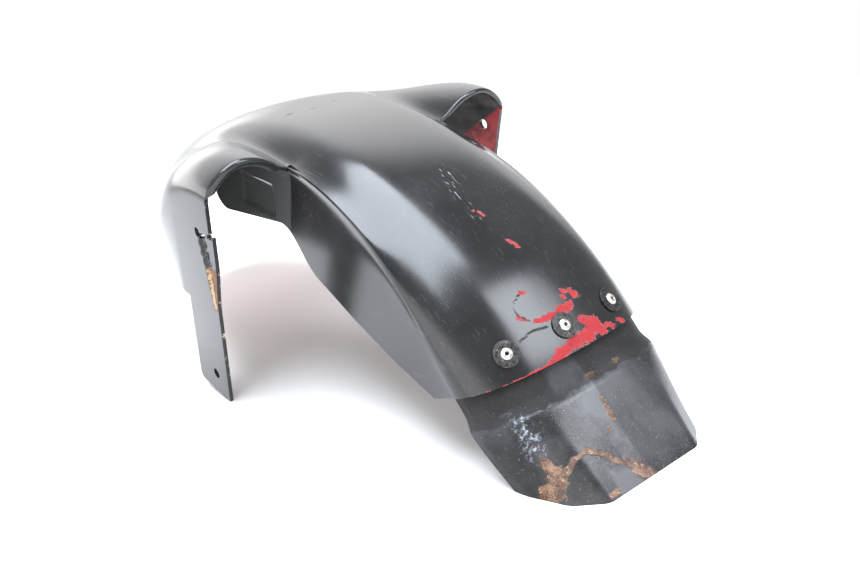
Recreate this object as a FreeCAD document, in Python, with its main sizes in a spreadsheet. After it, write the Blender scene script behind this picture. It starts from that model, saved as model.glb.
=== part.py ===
import FreeCAD
import Part
import Sketcher
import math
import os

# Motorcycle front fender: a moulded shell with two fork hoods, and a mud flap riveted under its rear edge.
# Frame: X forward, Y to the rider's left, Z up, millimetres. The floor that the part rests on is Z = 0.
# The crown follows a circle about the wheel axle. Angles are measured about the axle, rearward from
# straight up. A cross-section is given by Y and by the depth below the crown line in its own plane.

document = FreeCAD.newDocument("fender")
sheet = document.addObject("Spreadsheet::Sheet", "Sizes")

size_rows = [
    # shell as a whole
    ("wall", 3.0),
    ("crown_radius", 319.0),
    ("axle_below_floor", 118.0),
    ("nose_angle", -50.0),
    ("ear_front_angle", 0.0),
    ("arch_angle", 10.5),
    ("rear_angle", 53.9),
    # tilt of the cross-section planes at the nose, the fork arch and the rear edge
    ("nose_tilt", -70.0),
    ("arch_tilt", 16.5),
    ("rear_tilt", 71.0),
    # front part: half width, shoulder depth and roundness of the cross-section
    ("hood_half_width", 137.0),
    ("nose_half_width", 72.0),
    ("nose_taper", 1.75),
    ("hood_shoulder", 30.0),
    ("nose_shoulder", 74.0),
    ("front_roundness", 2.25),
    ("shoulder_angle", 30.0),
    # valley beside the crown and crest over the fork leg
    ("valley_depth", 15.0),
    ("valley_width", 15.0),
    ("valley_place", 68.0),
    ("crest_height", 11.0),
    ("crest_width", 24.0),
    ("crest_place", 115.0),
    ("hood_fade_angle", -10.0),
    # the used part is twisted: at the arch its left hood stands higher and its right hood lower
    ("hood_twist", 6.0),
    # rear part: cross-section, ridge and side wall
    ("rear_half_width", 79.5),
    ("rear_shoulder", 47.0),
    ("rear_roundness", 2.7),
    ("ridge_arch", 70.0),
    ("ridge_rear", 78.5),
    ("groove_arch", 4.0),
    ("groove_rear", 1.5),
    ("groove_drop", 6.0),
    ("wall_flare", 5.0),
    ("wall_reach", 110.0),
    # lower edge of the side wall, from the axle line and the floor
    ("wall_front", 70.0),
    ("wall_front_level", 128.0),
    ("wall_step", -33.0),
    ("wall_step_level", 134.0),
    ("wall_knee", -61.0),
    ("wall_knee_level", 103.0),
    ("wall_slope", 20.5),
    ("wall_corner", 18.0),
    # ear under each hood and lower edge of the nose
    ("ear_width", 46.0),
    ("ear_drop", 8.0),
    ("ear_lean", 2.0),
    ("ear_corner", 5.0),
    ("skirt_level", 86.0),
    ("skirt_crest", 97.0),
    ("skirt_crest_place", 90.0),
    ("skirt_end", 78.0),
    ("skirt_end_place", 182.0),
    ("skirt_round", 150.0),
    ("lip_height", 7.0),
    ("lip_length", 4.0),
    # shallow recess on the outer face of each inner wall
    ("recess_length", 44.0),
    ("recess_height", 24.0),
    ("recess_depth", 1.2),
    ("recess_place", 2.0),
    ("recess_level", 151.0),
    # bolt holes of the ears
    ("bolt_hole", 8.5),
    ("hole_from_edge", 17.0),
    ("upper_hole_level", 150.0),
    ("lower_hole_level", 22.0),
    # crack through the upper bolt hole of the left ear
    ("crack_width", 1.4),
    ("crack_above", 11.0),
    ("crack_above_lean", 5.0),
    ("crack_below", 55.0),
    ("crack_bend", 8.0),
    # mud flap
    ("flap_wall", 2.8),
    ("flap_overlap", 35.0),
    ("flap_slope", 49.8),
    ("flap_neck", 14.0),
    ("flap_flare", 26.0),
    ("flap_flat", 41.0),
    ("flap_facet", 59.0),
    ("flap_facet_depth", 13.0),
    ("flap_side", 65.0),
    ("flap_side_depth", 35.0),
    ("flap_side_end", 9.0),
    ("seat_gap", 0.9),
    # washers and rivets
    ("rivet_angle", 50.6),
    ("rivet_spacing", 47.0),
    ("rivet_shank", 4.0),
    ("rivet_clearance", 0.3),
    ("rivet_drill", 30.0),
    ("rivet_head", 8.0),
    ("rivet_edge_height", 0.4),
    ("rivet_dome", 6.4),
    ("rivet_dome_height", 1.2),
    ("rivet_top", 4.0),
    ("rivet_head_height", 1.6),
    ("rivet_bore", 2.7),
    ("rivet_tail", 6.0),
    ("rivet_tail_height", 3.0),
    ("washer_diameter", 18.0),
    ("washer_thickness", 1.2),
    ("contact_gap", 0.05),
]

for row, (name, number) in enumerate(size_rows, start=1):
    sheet.set("A" + str(row), name)
    sheet.set("B" + str(row), str(number))
    sheet.setAlias("B" + str(row), name)
document.recompute()


def size(name):
    """Value of a named cell of the sheet."""
    return float(sheet.get(name))


wall = size("wall")
crown_radius = size("crown_radius")
nose_angle = size("nose_angle")
ear_front_angle = size("ear_front_angle")
arch_angle = size("arch_angle")
rear_angle = size("rear_angle")
arch_tilt = size("arch_tilt")
rear_tilt = size("rear_tilt")
flap_slope = size("flap_slope")
seat_gap = size("seat_gap")
contact_gap = size("contact_gap")

# The axle stands where the nose tip and the end of the flap are equally far from the origin.
axle_z = -size("axle_below_floor")
rear_level = axle_z + crown_radius * math.cos(math.radians(rear_angle))
flap_length = rear_level / math.sin(math.radians(flap_slope))
nose_reach = -crown_radius * math.sin(math.radians(nose_angle))
rear_reach = crown_radius * math.sin(math.radians(rear_angle))
flap_reach = rear_reach + flap_length * math.cos(math.radians(flap_slope))
axle_x = (flap_reach - nose_reach) / 2

# Spread of the points and cross-sections that the curved faces pass through
CROWN_STEPS = 8
CROWD = 1.1
HOOD_STEPS = 7
WALL_SHARES = (0.07, 0.16, 0.32, 0.6, 1.0)
EAR_SECTIONS = 3
NOSE_SHARES = (0.0, 0.14, 0.28, 0.44, 0.6, 0.76, 0.88, 1.0)
REAR_SECTIONS = 9
FLAP_SHARES = (0.0, 0.33, 0.67, 1.0, 1.3)
CRACK_STEPS = 3
MITRE_LIMIT = 0.6
PROBE = 0.1

# The sides run on below the floor at the ears and below the lower edge at the nose, where they are trimmed.
EAR_REACH = 215.0
NOSE_REACH = 110.0
REACH_FADE_ANGLE = 14.0
beyond = 2 * crown_radius


def smooth(share):
    """Share held between 0 and 1, with a level start and end."""
    share = min(1.0, max(0.0, share))
    return share * share * (3 - 2 * share)


def mix(first, second, share):
    """Value that goes from the first to the second."""
    return first + (second - first) * share


def bell(distance, width):
    """Bell curve of height one."""
    return math.exp(-(distance / width) ** 2)


def oval_depth(y, half_width, shoulder, roundness):
    """Depth of a flattened oval below its top."""
    share = min(1.0, y / half_width)
    return shoulder * (1 - (1 - share ** roundness) ** (1 / roundness))


def plane_tilt(angle):
    """Tilt of the cross-section plane that meets the crown line at an angle."""
    if angle > arch_angle:
        return mix(arch_tilt, rear_tilt, (angle - arch_angle) / (rear_angle - arch_angle))
    if angle < ear_front_angle:
        share = (ear_front_angle - angle) / (ear_front_angle - nose_angle)
        return mix(arch_tilt, size("nose_tilt"), share)
    return arch_tilt


def crown_point(angle):
    """Point of the crown line."""
    turn = math.radians(angle)
    x = axle_x - crown_radius * math.sin(turn)
    return FreeCAD.Vector(x, 0, axle_z + crown_radius * math.cos(turn))


def down_way(tilt):
    """Direction of depth in a plane of that tilt."""
    turn = math.radians(tilt)
    return FreeCAD.Vector(math.sin(turn), 0, -math.cos(turn))


def on_plane(start, tilt, pair):
    """Point at a pair of Y and depth, in the plane of that tilt through a start point."""
    return start + down_way(tilt) * pair[1] + FreeCAD.Vector(0, pair[0], 0)


def twist_rise(angle, y):
    """Rise by the twist of the shell, which is full at the arch and fades to the nose and the rear edge."""
    end = rear_angle if angle > arch_angle else nose_angle
    strength = 1 - smooth((angle - arch_angle) / (end - arch_angle))
    return size("hood_twist") * strength * y / size("crest_place")


def on_section(angle, pair):
    """Point at a pair of Y and depth of the shell's cross-section at an angle."""
    twisted = (pair[0], pair[1] - twist_rise(angle, pair[0]))
    return on_plane(crown_point(angle), plane_tilt(angle), twisted)


def front_half_width(angle):
    """Half width of the front part."""
    share = (arch_angle - angle) / (arch_angle - nose_angle)
    return mix(size("hood_half_width"), size("nose_half_width"), share ** size("nose_taper"))


def front_shoulder(angle):
    """Depth of the front part's shoulder."""
    share = smooth((arch_angle - angle) / size("shoulder_angle"))
    return mix(size("hood_shoulder"), size("nose_shoulder"), share)


def front_depth(angle, y):
    """Depth of the front part's outer face: a flattened oval with a valley and a crest at the hoods."""
    plain = oval_depth(y, front_half_width(angle), front_shoulder(angle), size("front_roundness"))
    strength = smooth((angle - size("hood_fade_angle")) / (arch_angle - size("hood_fade_angle")))
    valley = size("valley_depth") * bell(y - size("valley_place"), size("valley_width"))
    crest = size("crest_height") * bell(y - size("crest_place"), size("crest_width"))
    return plain + strength * (valley - crest)


def rear_share(angle):
    """Share of the way from the arch to the rear edge."""
    return (angle - arch_angle) / (rear_angle - arch_angle)


def rear_depth(angle, y):
    """Depth of the rear part's crown: the arch's own shape, passing into a flattened oval."""
    share = 1 - (1 - rear_share(angle)) ** 2
    oval = oval_depth(y, size("rear_half_width"), size("rear_shoulder"), size("rear_roundness"))
    return mix(front_depth(arch_angle, y), oval, share)


def ridge_half_width(angle):
    """Y of the ridge that ends the crown of the rear part."""
    return mix(size("ridge_arch"), size("ridge_rear"), smooth(rear_share(angle)))


def crown_ys(end):
    """Steps from the middle to an end that crowd a little towards the end."""
    return [end * math.sin(CROWD * i / CROWN_STEPS) / math.sin(CROWD) for i in range(CROWN_STEPS + 1)]


def front_outline(angle, ridge):
    """Half outline of the front part: crown up to a ridge place, hood and straight side."""
    half_width = front_half_width(angle)
    crown = [(y, front_depth(angle, y)) for y in crown_ys(ridge)]
    hood = []
    for i in range(1, HOOD_STEPS + 1):
        y = mix(ridge, half_width, math.sin(math.pi / 2 * i / HOOD_STEPS))
        hood.append((y, front_depth(angle, y)))
    reach = mix(EAR_REACH, NOSE_REACH, smooth((ear_front_angle - angle) / REACH_FADE_ANGLE))
    lean = math.tan(math.radians(size("ear_lean")))
    side_top = hood[-1]
    side_end = (side_top[0] - lean * (reach - side_top[1]), reach)
    return crown + hood + [side_end]


def front_half(angle):
    """Half of the front part's outer outline, with its two break places."""
    ridge = size("ridge_arch") * front_half_width(angle) / size("hood_half_width")
    return front_outline(angle, ridge), [CROWN_STEPS, CROWN_STEPS + HOOD_STEPS]


def front_inner(angle):
    """Inner outline of the front part's half, which meets the rear part's inner outline at the arch."""
    arch_crown = rear_inner(arch_angle, wall)[:CROWN_STEPS + 1]
    ridge = arch_crown[-1][0] * front_half_width(angle) / size("hood_half_width")
    inner = offset(front_outline(angle, ridge), wall)
    if angle == arch_angle:
        inner = arch_crown + inner[CROWN_STEPS + 1:]
    return inner


def wall_line(ridge, depth, groove):
    """Side wall from the ridge down: a groove under the ridge, then a slight flare."""
    drop = size("groove_drop")
    points = []
    for share in WALL_SHARES:
        fall = share * size("wall_reach")
        hollow = groove * (1 - math.exp(-fall / drop))
        points.append((ridge - hollow + size("wall_flare") * share, depth + fall))
    return points


def rear_half(angle):
    """Half of the rear part's outer outline: crown up to the ridge, then the side wall."""
    ridge = ridge_half_width(angle)
    crown = [(y, rear_depth(angle, y)) for y in crown_ys(ridge)]
    groove = mix(size("groove_arch"), size("groove_rear"), rear_share(angle))
    return crown + wall_line(ridge, crown[-1][1], groove), [CROWN_STEPS]


def offset(points, distance):
    """Half outline moved inward by a distance, with its middle kept on the middle plane."""
    moved = []
    last = len(points) - 1
    for i, (y, depth) in enumerate(points):
        before = points[max(0, i - 1)]
        after = points[min(last, i + 1)]
        if i == 0:
            before = (-after[0], after[1])
        into = unit(before, (y, depth)) if i > 0 or before[0] < 0 else (1.0, 0.0)
        out = unit((y, depth), after) if i < last else into
        along = unit((0, 0), (into[0] + out[0], into[1] + out[1]))
        stretch = 1 / max(MITRE_LIMIT, along[0] * into[0] + along[1] * into[1])
        moved.append((y - along[1] * distance * stretch, depth + along[0] * distance * stretch))
    return moved


def unit(start, end):
    """Unit step from a start to an end."""
    step = (end[0] - start[0], end[1] - start[1])
    length = math.hypot(step[0], step[1])
    return (step[0] / length, step[1] / length)


def rear_inner(angle, thickness):
    """Inner outline that goes with the half outline of the rear part."""
    half, breaks = rear_half(angle)
    moved = offset(half, thickness)
    corner = moved[CROWN_STEPS]
    crown = [(y, rear_depth(angle, y)) for y in crown_ys(corner[0])]
    return offset(crown, thickness)[:-1] + moved[CROWN_STEPS:]


def even_curve(points):
    """Smooth edge through points that are evenly spread over its range."""
    curve = Part.BSplineCurve()
    last = len(points) - 1
    curve.interpolate(Points=points, Parameters=[i / last for i in range(last + 1)])
    return curve.toShape()


def edges_of(half, breaks, spot):
    """Edges of a whole outline from left to right, cut at the breaks of its two halves."""
    last = len(half) - 1
    whole = [(-y, depth) for y, depth in reversed(half)][:-1] + list(half)
    cuts = sorted([last - place for place in breaks] + [last + place for place in breaks])
    cuts = [0] + cuts + [2 * last]
    edges = []
    for start, end in zip(cuts[:-1], cuts[1:]):
        points = [spot(pair) for pair in whole[start:end + 1]]
        if len(points) == 2:
            edges.append(Part.LineSegment(points[0], points[1]).toShape())
        else:
            edges.append(even_curve(points))
    return edges


def section_wire(half, inner, breaks, spot):
    """Closed wire of a thin section: outer outline, inner outline and the two ends."""
    outer_edges = edges_of(half, breaks, spot)
    inner_edges = edges_of(inner, breaks, spot)
    left = Part.LineSegment(spot((-inner[-1][0], inner[-1][1])), spot((-half[-1][0], half[-1][1])))
    right = Part.LineSegment(spot(half[-1]), spot(inner[-1]))
    return Part.Wire(outer_edges + [right.toShape()] + inner_edges[::-1] + [left.toShape()])


def core_wire(half, breaks, spot):
    """Closed wire of the space under the middle of the skin."""
    middle = offset(half, wall / 2)
    edges = edges_of(middle, breaks, spot)
    base = Part.LineSegment(spot(middle[-1]), spot((-middle[-1][0], middle[-1][1])))
    return Part.Wire(edges + [base.toShape()])


def prism(outline, left, right):
    """Solid between two Y places, from an outline of X, Z and corner radius."""
    points = [FreeCAD.Vector(x, left, z) for x, z, radius in outline]
    count = len(points)
    ends = []
    for i, (x, z, radius) in enumerate(outline):
        corner = points[i]
        before = (points[i - 1] - corner).normalize()
        after = (points[(i + 1) % count] - corner).normalize()
        half_turn = before.getAngle(after) / 2
        if radius == 0:
            ends.append((corner, None, corner))
            continue
        cut = radius / math.tan(half_turn)
        middle_way = (before + after).normalize()
        middle = corner + middle_way * (radius / math.sin(half_turn) - radius)
        ends.append((corner + before * cut, middle, corner + after * cut))
    edges = []
    for i in range(count):
        start, middle, end = ends[i]
        if middle is not None:
            edges.append(Part.Arc(start, middle, end).toShape())
        edges.append(Part.LineSegment(end, ends[(i + 1) % count][0]).toShape())
    face = Part.Face(Part.Wire(edges))
    return face.extrude(FreeCAD.Vector(0, right - left, 0))


# Front skin: nose, hoods and sides, cut by the ear outline and the lower edge of the nose
front_angles = [mix(arch_angle, ear_front_angle, i / EAR_SECTIONS) for i in range(EAR_SECTIONS)]
front_angles += [mix(ear_front_angle, nose_angle, share) for share in NOSE_SHARES]
front_wires = []
core_wires = []
for angle in front_angles:
    half, breaks = front_half(angle)
    front_wires.append(section_wire(half, front_inner(angle), breaks, lambda pair: on_section(angle, pair)))
    core_wires.append(core_wire(half, breaks, lambda pair: on_section(angle, pair)))
front_skin = Part.makeLoft(front_wires, True, False)
front_core = Part.makeLoft(core_wires, True, False)

arch_start = crown_point(arch_angle)
ear_way = down_way(arch_tilt)
ahead = FreeCAD.Vector(-ear_way.z, 0, ear_way.x)


def on_arch_line(level):
    """Point of the arch plane at a level, on the middle plane."""
    return arch_start + ear_way * ((arch_start.z - level) / -ear_way.z)


ear_rear = on_arch_line(0)
ear_front = ear_rear + ahead * size("ear_width")
ear_front_bottom = ear_front + ear_way * ((ear_front.z - size("ear_drop")) / -ear_way.z)
ear_front_top = ear_front + ear_way * ((ear_front.z - size("skirt_level")) / -ear_way.z)
skirt_crest_x = axle_x + size("skirt_crest_place")
skirt_end_x = axle_x + size("skirt_end_place")
outline = [
    (ear_rear.x - size("ear_width"), -beyond, 0),
    (ear_rear.x - size("ear_width"), 0, 0),
    (ear_rear.x, 0, 0),
    (ear_front_bottom.x, ear_front_bottom.z, size("ear_corner")),
    (ear_front_top.x, ear_front_top.z, size("ear_corner")),
    (skirt_crest_x, size("skirt_crest"), size("skirt_round")),
    (skirt_end_x, size("skirt_end"), 0),
    (beyond, size("skirt_end"), 0),
    (beyond, -beyond, 0),
]
span = 2 * size("hood_half_width")
front_cut = prism(outline, -span, span)
front_skin = front_skin.cut(front_cut)

# Rear skin: crown, ridges and side walls
rear_wires = []
for i in range(REAR_SECTIONS + 1):
    angle = mix(arch_angle, rear_angle, i / REAR_SECTIONS)
    half, breaks = rear_half(angle)
    inner = rear_inner(angle, wall)
    rear_wires.append(section_wire(half, inner, breaks, lambda pair: on_section(angle, pair)))
rear_skin = Part.makeLoft(rear_wires, True, False)

# Inner walls under the hoods: the arch end of the side walls, carried forward under the skin
wall_half, wall_breaks = rear_half(arch_angle)
wall_outer = wall_half[wall_breaks[0]:]
wall_inner = rear_inner(arch_angle, wall)[wall_breaks[0]:]
inner_walls = []
for side in (1, -1):
    def wall_spot(pair):
        return on_section(arch_angle, (pair[0] * side, pair[1]))

    outer_curve = even_curve([wall_spot(pair) for pair in wall_outer])
    inner_curve = even_curve([wall_spot(pair) for pair in wall_inner])
    foot = Part.LineSegment(wall_spot(wall_outer[-1]), wall_spot(wall_inner[-1]))
    head = Part.LineSegment(wall_spot(wall_outer[0]), wall_spot(wall_inner[0]))
    wire = Part.Wire([outer_curve, foot.toShape(), inner_curve, head.toShape()])
    inner_walls.append(Part.Face(wire).extrude(ahead * 2 * size("wall_front")).common(front_core))

# Side walls are kept above their lower edge and behind their front edge
knee = (axle_x + size("wall_knee"), size("wall_knee_level"))
far = axle_x - beyond
far_level = knee[1] - (knee[0] - far) * math.tan(math.radians(size("wall_slope")))
wall_outline = [
    (axle_x + size("wall_front"), beyond, 0),
    (axle_x + size("wall_front"), size("wall_front_level"), size("wall_corner")),
    (axle_x + size("wall_step"), size("wall_step_level"), size("wall_corner")),
    (knee[0], knee[1], size("wall_corner")),
    (far, far_level, 0),
    (far, beyond, 0),
]
wall_keep = prism(wall_outline, -span, span)
rear_skin = rear_skin.common(wall_keep)
inner_walls = [piece.common(wall_keep) for piece in inner_walls]

# Thick lip along the rear edge of each hood
lip_half, lip_breaks = front_half(arch_angle)
lip_outer = lip_half[lip_breaks[0]:lip_breaks[1] + 1]
lip_inner = offset(lip_half, size("lip_height"))[lip_breaks[0]:lip_breaks[1] + 1]
lips = []
for side in (1, -1):
    outer_points = [on_section(arch_angle, (y * side, depth)) for y, depth in lip_outer]
    inner_points = [on_section(arch_angle, (y * side, depth)) for y, depth in lip_inner]
    start = Part.LineSegment(outer_points[0], inner_points[0]).toShape()
    end = Part.LineSegment(outer_points[-1], inner_points[-1]).toShape()
    ring = Part.Wire([even_curve(outer_points), end, even_curve(inner_points), start])
    lips.append(Part.Face(ring).extrude(ahead * -size("lip_length")))

shell_shape = front_skin.fuse([rear_skin] + inner_walls + lips)

# Shallow recess on the outer face of each inner wall
recess_face = wall_outer[2][0] - size("recess_depth")
recess_reach = size("valley_width")
for side in (1, -1):
    recess = Part.makeBox(size("recess_length"), recess_reach, size("recess_height"))
    corner_x = axle_x + size("recess_place") - size("recess_length") / 2
    corner_y = recess_face if side > 0 else -recess_face - recess_reach
    recess.translate(FreeCAD.Vector(corner_x, corner_y, size("recess_level") - size("recess_height") / 2))
    shell_shape = shell_shape.cut(recess)

shell_skin = document.addObject("Part::Feature", "ShellSkin")
shell_skin.Shape = shell_shape

# Bolt holes: one drill for each ear at each level
turn_to_side = FreeCAD.Rotation(FreeCAD.Vector(1, 0, 0), -90)
ear_inside = size("hood_half_width") - 5 * wall
drills = []
hole_places = []
for name, level in (("UpperDrill", size("upper_hole_level")), ("LowerDrill", size("lower_hole_level"))):
    inset = size("hole_from_edge")
    place = on_arch_line(level - inset * ahead.z) + ahead * inset
    hole_places.append(place)
    for side_name, start in (("Left", ear_inside), ("Right", -ear_inside - size("crest_place"))):
        drill = document.addObject("Part::Cylinder", name + side_name)
        drill.setExpression("Radius", "Sizes.bolt_hole / 2")
        drill.setExpression("Height", "Sizes.crest_place")
        drill.Placement = FreeCAD.Placement(place + FreeCAD.Vector(0, start, 0), turn_to_side)
        drills.append(drill)

# Crack of the left ear: a thin wedge up from the upper bolt hole and a longer bent one down from it
upper = hole_places[0]
half_crack = size("crack_width") / 2
crack_right = []
crack_left = []
for i in range(CRACK_STEPS):
    share = i / CRACK_STEPS
    x = upper.x + size("crack_bend") * share ** 2
    z = upper.z - size("crack_below") * share
    crack_right.append((x + half_crack, z, 0))
    crack_left.append((x - half_crack, z, 0))
crack_top = (upper.x + size("crack_above_lean"), upper.z + size("crack_above"), 0)
crack_end = (upper.x + size("crack_bend"), upper.z - size("crack_below"), 0)
crack_outline = [crack_top] + crack_right + [crack_end] + crack_left[::-1]
crack = document.addObject("Part::Feature", "EarCrack")
crack.Shape = prism(crack_outline, ear_inside, span)

# Rivet places on the crown: point and outward direction
rivet_spots = []
rivet_angle = size("rivet_angle")


def crown_spot(angle, y):
    """Point of the rear part's outer face."""
    return on_section(angle, (y, rear_depth(angle, abs(y))))


for y in (-size("rivet_spacing"), 0.0, size("rivet_spacing")):
    along = crown_spot(rivet_angle + PROBE, y) - crown_spot(rivet_angle - PROBE, y)
    across = crown_spot(rivet_angle, y + PROBE) - crown_spot(rivet_angle, y - PROBE)
    outward = across.cross(along).normalize()
    if outward.z < 0:
        outward = outward * -1
    turn = FreeCAD.Rotation(FreeCAD.Vector(0, 0, 1), outward)
    rivet_spots.append((crown_spot(rivet_angle, y), outward, turn))

rivet_drills = []
for number, (spot, outward, turn) in enumerate(rivet_spots, start=1):
    drill = document.addObject("Part::Cylinder", "RivetDrill" + str(number))
    drill.setExpression("Radius", "Sizes.rivet_shank / 2 + Sizes.rivet_clearance / 2")
    drill.setExpression("Height", "Sizes.rivet_drill")
    drill.Placement = FreeCAD.Placement(spot - outward * (size("rivet_drill") / 2), turn)
    rivet_drills.append(drill)

shell_tools = document.addObject("Part::MultiFuse", "ShellTools")
shell_tools.Shapes = drills + rivet_drills + [crack]
shell = document.addObject("Part::Cut", "FenderShell")
shell.Base = shell_skin
shell.Tool = shell_tools
shell.Label = "fender_shell"

# Mud flap: it follows the inside of the crown, leaves it at the neck and turns into flat facets
FLAP_BREAK_STEPS = [4, 6, CROWN_STEPS]


def flap_facets():
    """Half outline of the flap's end: flat middle, slanted corner, side and its straight end."""
    side = (size("flap_side"), size("flap_side_depth"))
    corners = [
        (0.0, 0.0),
        (size("flap_flat"), 0.0),
        (size("flap_facet"), size("flap_facet_depth")),
        side,
        (side[0], side[1] + size("flap_side_end")),
    ]
    stops = [0] + FLAP_BREAK_STEPS + [CROWN_STEPS + 1]
    points = [corners[0]]
    for part in range(4):
        steps = stops[part + 1] - stops[part]
        for i in range(1, steps + 1):
            y = mix(corners[part][0], corners[part + 1][0], i / steps)
            points.append((y, mix(corners[part][1], corners[part + 1][1], i / steps)))
    return points


def flap_half(along):
    """Half of the flap's outer outline at a distance behind the rear edge of the shell."""
    angle = rear_angle + math.degrees(min(0.0, along) / crown_radius)
    flare = smooth((along - size("flap_neck")) / (size("flap_flare") - size("flap_neck")))
    curve = rear_inner(angle, (wall + seat_gap) * (1 - flare))[:CROWN_STEPS + 2]
    share = smooth((along - size("flap_neck")) / (flap_length - size("flap_neck")))
    return [(mix(a[0], b[0], share), mix(a[1], b[1], share)) for a, b in zip(curve, flap_facets())]


def flap_spot(along, pair):
    """Point at a pair of Y and depth of the flap's cross-section."""
    if along <= 0:
        return on_section(rear_angle + math.degrees(along / crown_radius), pair)
    turn = math.radians(flap_slope)
    start = crown_point(rear_angle) - FreeCAD.Vector(math.cos(turn), 0, math.sin(turn)) * along
    return on_plane(start, mix(rear_tilt, flap_slope, smooth(along / flap_length)), pair)


neck = size("flap_neck")
flare_end = size("flap_flare")
flap_stations = [-size("flap_overlap"), -size("flap_overlap") / 2, 0, neck]
flap_stations += [mix(flare_end, flap_length, share) for share in FLAP_SHARES]
flap_wires = []
for along in flap_stations:
    half = flap_half(along)
    inner = offset(half, size("flap_wall"))
    flap_wires.append(section_wire(half, inner, FLAP_BREAK_STEPS, lambda pair: flap_spot(along, pair)))
flap_loft = Part.makeLoft(flap_wires, True, False)
above_floor = Part.makeBox(4 * crown_radius, 2 * span, crown_radius)
above_floor.translate(FreeCAD.Vector(-2 * crown_radius, -span, 0))
flap_sheet = document.addObject("Part::Feature", "FlapSheet")
flap_sheet.Shape = flap_loft.common(above_floor)
flap_tools = document.addObject("Part::MultiFuse", "FlapTools")
flap_tools.Shapes = rivet_drills
flap = document.addObject("Part::Cut", "MudFlap")
flap.Base = flap_sheet
flap.Tool = flap_tools
flap.Label = "mud_flap"


def turned_body(name, corners):
    """Body turned about Z from the corners of its half profile, each given as two expressions and numbers."""
    body = document.addObject("PartDesign::Body", name)
    sketch = body.newObject("Sketcher::SketchObject", name + "Profile")
    plane = [item for item in body.Origin.OriginFeatures if item.Role == "XZ_Plane"][0]
    sketch.AttachmentSupport = [(plane, "")]
    sketch.MapMode = "FlatFace"
    count = len(corners)
    for i in range(count):
        start = FreeCAD.Vector(corners[i][2], corners[i][3], 0)
        end = FreeCAD.Vector(corners[(i + 1) % count][2], corners[(i + 1) % count][3], 0)
        sketch.addGeometry(Part.LineSegment(start, end))
    for i in range(count):
        sketch.addConstraint(Sketcher.Constraint("Coincident", i, 2, (i + 1) % count, 1))
    for i, (radius_text, level_text, radius, level) in enumerate(corners):
        index = sketch.addConstraint(Sketcher.Constraint("DistanceX", -1, 1, i, 1, radius))
        sketch.renameConstraint(index, "radius" + str(i))
        sketch.setExpression(".Constraints.radius" + str(i), radius_text)
        index = sketch.addConstraint(Sketcher.Constraint("DistanceY", -1, 1, i, 1, level))
        sketch.renameConstraint(index, "level" + str(i))
        sketch.setExpression(".Constraints.level" + str(i), level_text)
    turn = body.newObject("PartDesign::Revolution", name + "Turn")
    turn.Profile = sketch
    turn.ReferenceAxis = (sketch, ["V_Axis"])
    turn.Angle = 360
    sketch.Visibility = False
    return body


def group_of(name, label, body, lift):
    """The same body at each rivet place, lifted off the crown, as one group of separate solids."""
    links = []
    for number, (spot, outward, turn) in enumerate(rivet_spots, start=1):
        link = document.addObject("App::Link", name + str(number))
        link.LinkedObject = body
        link.Placement = FreeCAD.Placement(spot + outward * lift, turn)
        links.append(link)
    group = document.addObject("Part::Compound", name)
    group.Links = links
    group.Label = label
    return group


# Washer: its lower face is at level zero
bore_text = "Sizes.rivet_shank / 2 + Sizes.rivet_clearance / 2"
bore = size("rivet_shank") / 2 + size("rivet_clearance") / 2
rim_text = "Sizes.washer_diameter / 2"
rim = size("washer_diameter") / 2
thick = size("washer_thickness")
washer_corners = [
    (bore_text, "0", bore, 0.0),
    (rim_text, "0", rim, 0.0),
    (rim_text, "Sizes.washer_thickness", rim, thick),
    (bore_text, "Sizes.washer_thickness", bore, thick),
]
washer_body = turned_body("WasherBody", washer_corners)
washers = group_of("RivetWashers", "rivet_washers", washer_body, contact_gap)

# Rivet: the head's lower face is at level zero, the tail is formed under the flap
grip_text = "Sizes.washer_thickness + Sizes.wall + Sizes.seat_gap + Sizes.flap_wall + Sizes.contact_gap * 5"
grip = thick + wall + seat_gap + size("flap_wall") + contact_gap * 5
hollow = size("rivet_bore") / 2
shank = size("rivet_shank") / 2
head = size("rivet_head") / 2
rise = size("rivet_head_height")
tail = size("rivet_tail") / 2
tail_rise = size("rivet_tail_height")
end_text = "-(" + grip_text + " + Sizes.rivet_tail_height)"
bulge_text = "-(" + grip_text + " + Sizes.rivet_tail_height / 2)"
rivet_corners = [
    ("Sizes.rivet_bore / 2", "Sizes.rivet_head_height", hollow, rise),
    ("Sizes.rivet_bore / 2", end_text, hollow, -grip - tail_rise),
    ("Sizes.rivet_shank / 2", end_text, shank, -grip - tail_rise),
    ("Sizes.rivet_tail / 2", bulge_text, tail, -grip - tail_rise / 2),
    ("Sizes.rivet_shank / 2", "-(" + grip_text + ")", shank, -grip),
    ("Sizes.rivet_shank / 2", "0", shank, 0.0),
    ("Sizes.rivet_head / 2", "0", head, 0.0),
    ("Sizes.rivet_head / 2", "Sizes.rivet_edge_height", head, size("rivet_edge_height")),
    ("Sizes.rivet_dome / 2", "Sizes.rivet_dome_height", size("rivet_dome") / 2, size("rivet_dome_height")),
    ("Sizes.rivet_top / 2", "Sizes.rivet_head_height", size("rivet_top") / 2, rise),
]
rivet_body = turned_body("RivetBody", rivet_corners)
rivets = group_of("BlindRivets", "blind_rivets", rivet_body, 2 * contact_gap + thick)

document.recompute()
for item in document.Objects:
    if "Invalid" in item.State or "Error" in item.State:
        raise RuntimeError(item.Name + " is not built")
os.makedirs("parts", exist_ok=True)
for item in (shell, flap, washers, rivets):
    if item.Shape.isNull() or not item.Shape.isValid():
        raise RuntimeError(item.Label + " is not valid")
    item.Shape.exportStep("parts/" + item.Label + ".step")
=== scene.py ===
import math

import bpy
import numpy as np
from mathutils import Matrix


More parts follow.
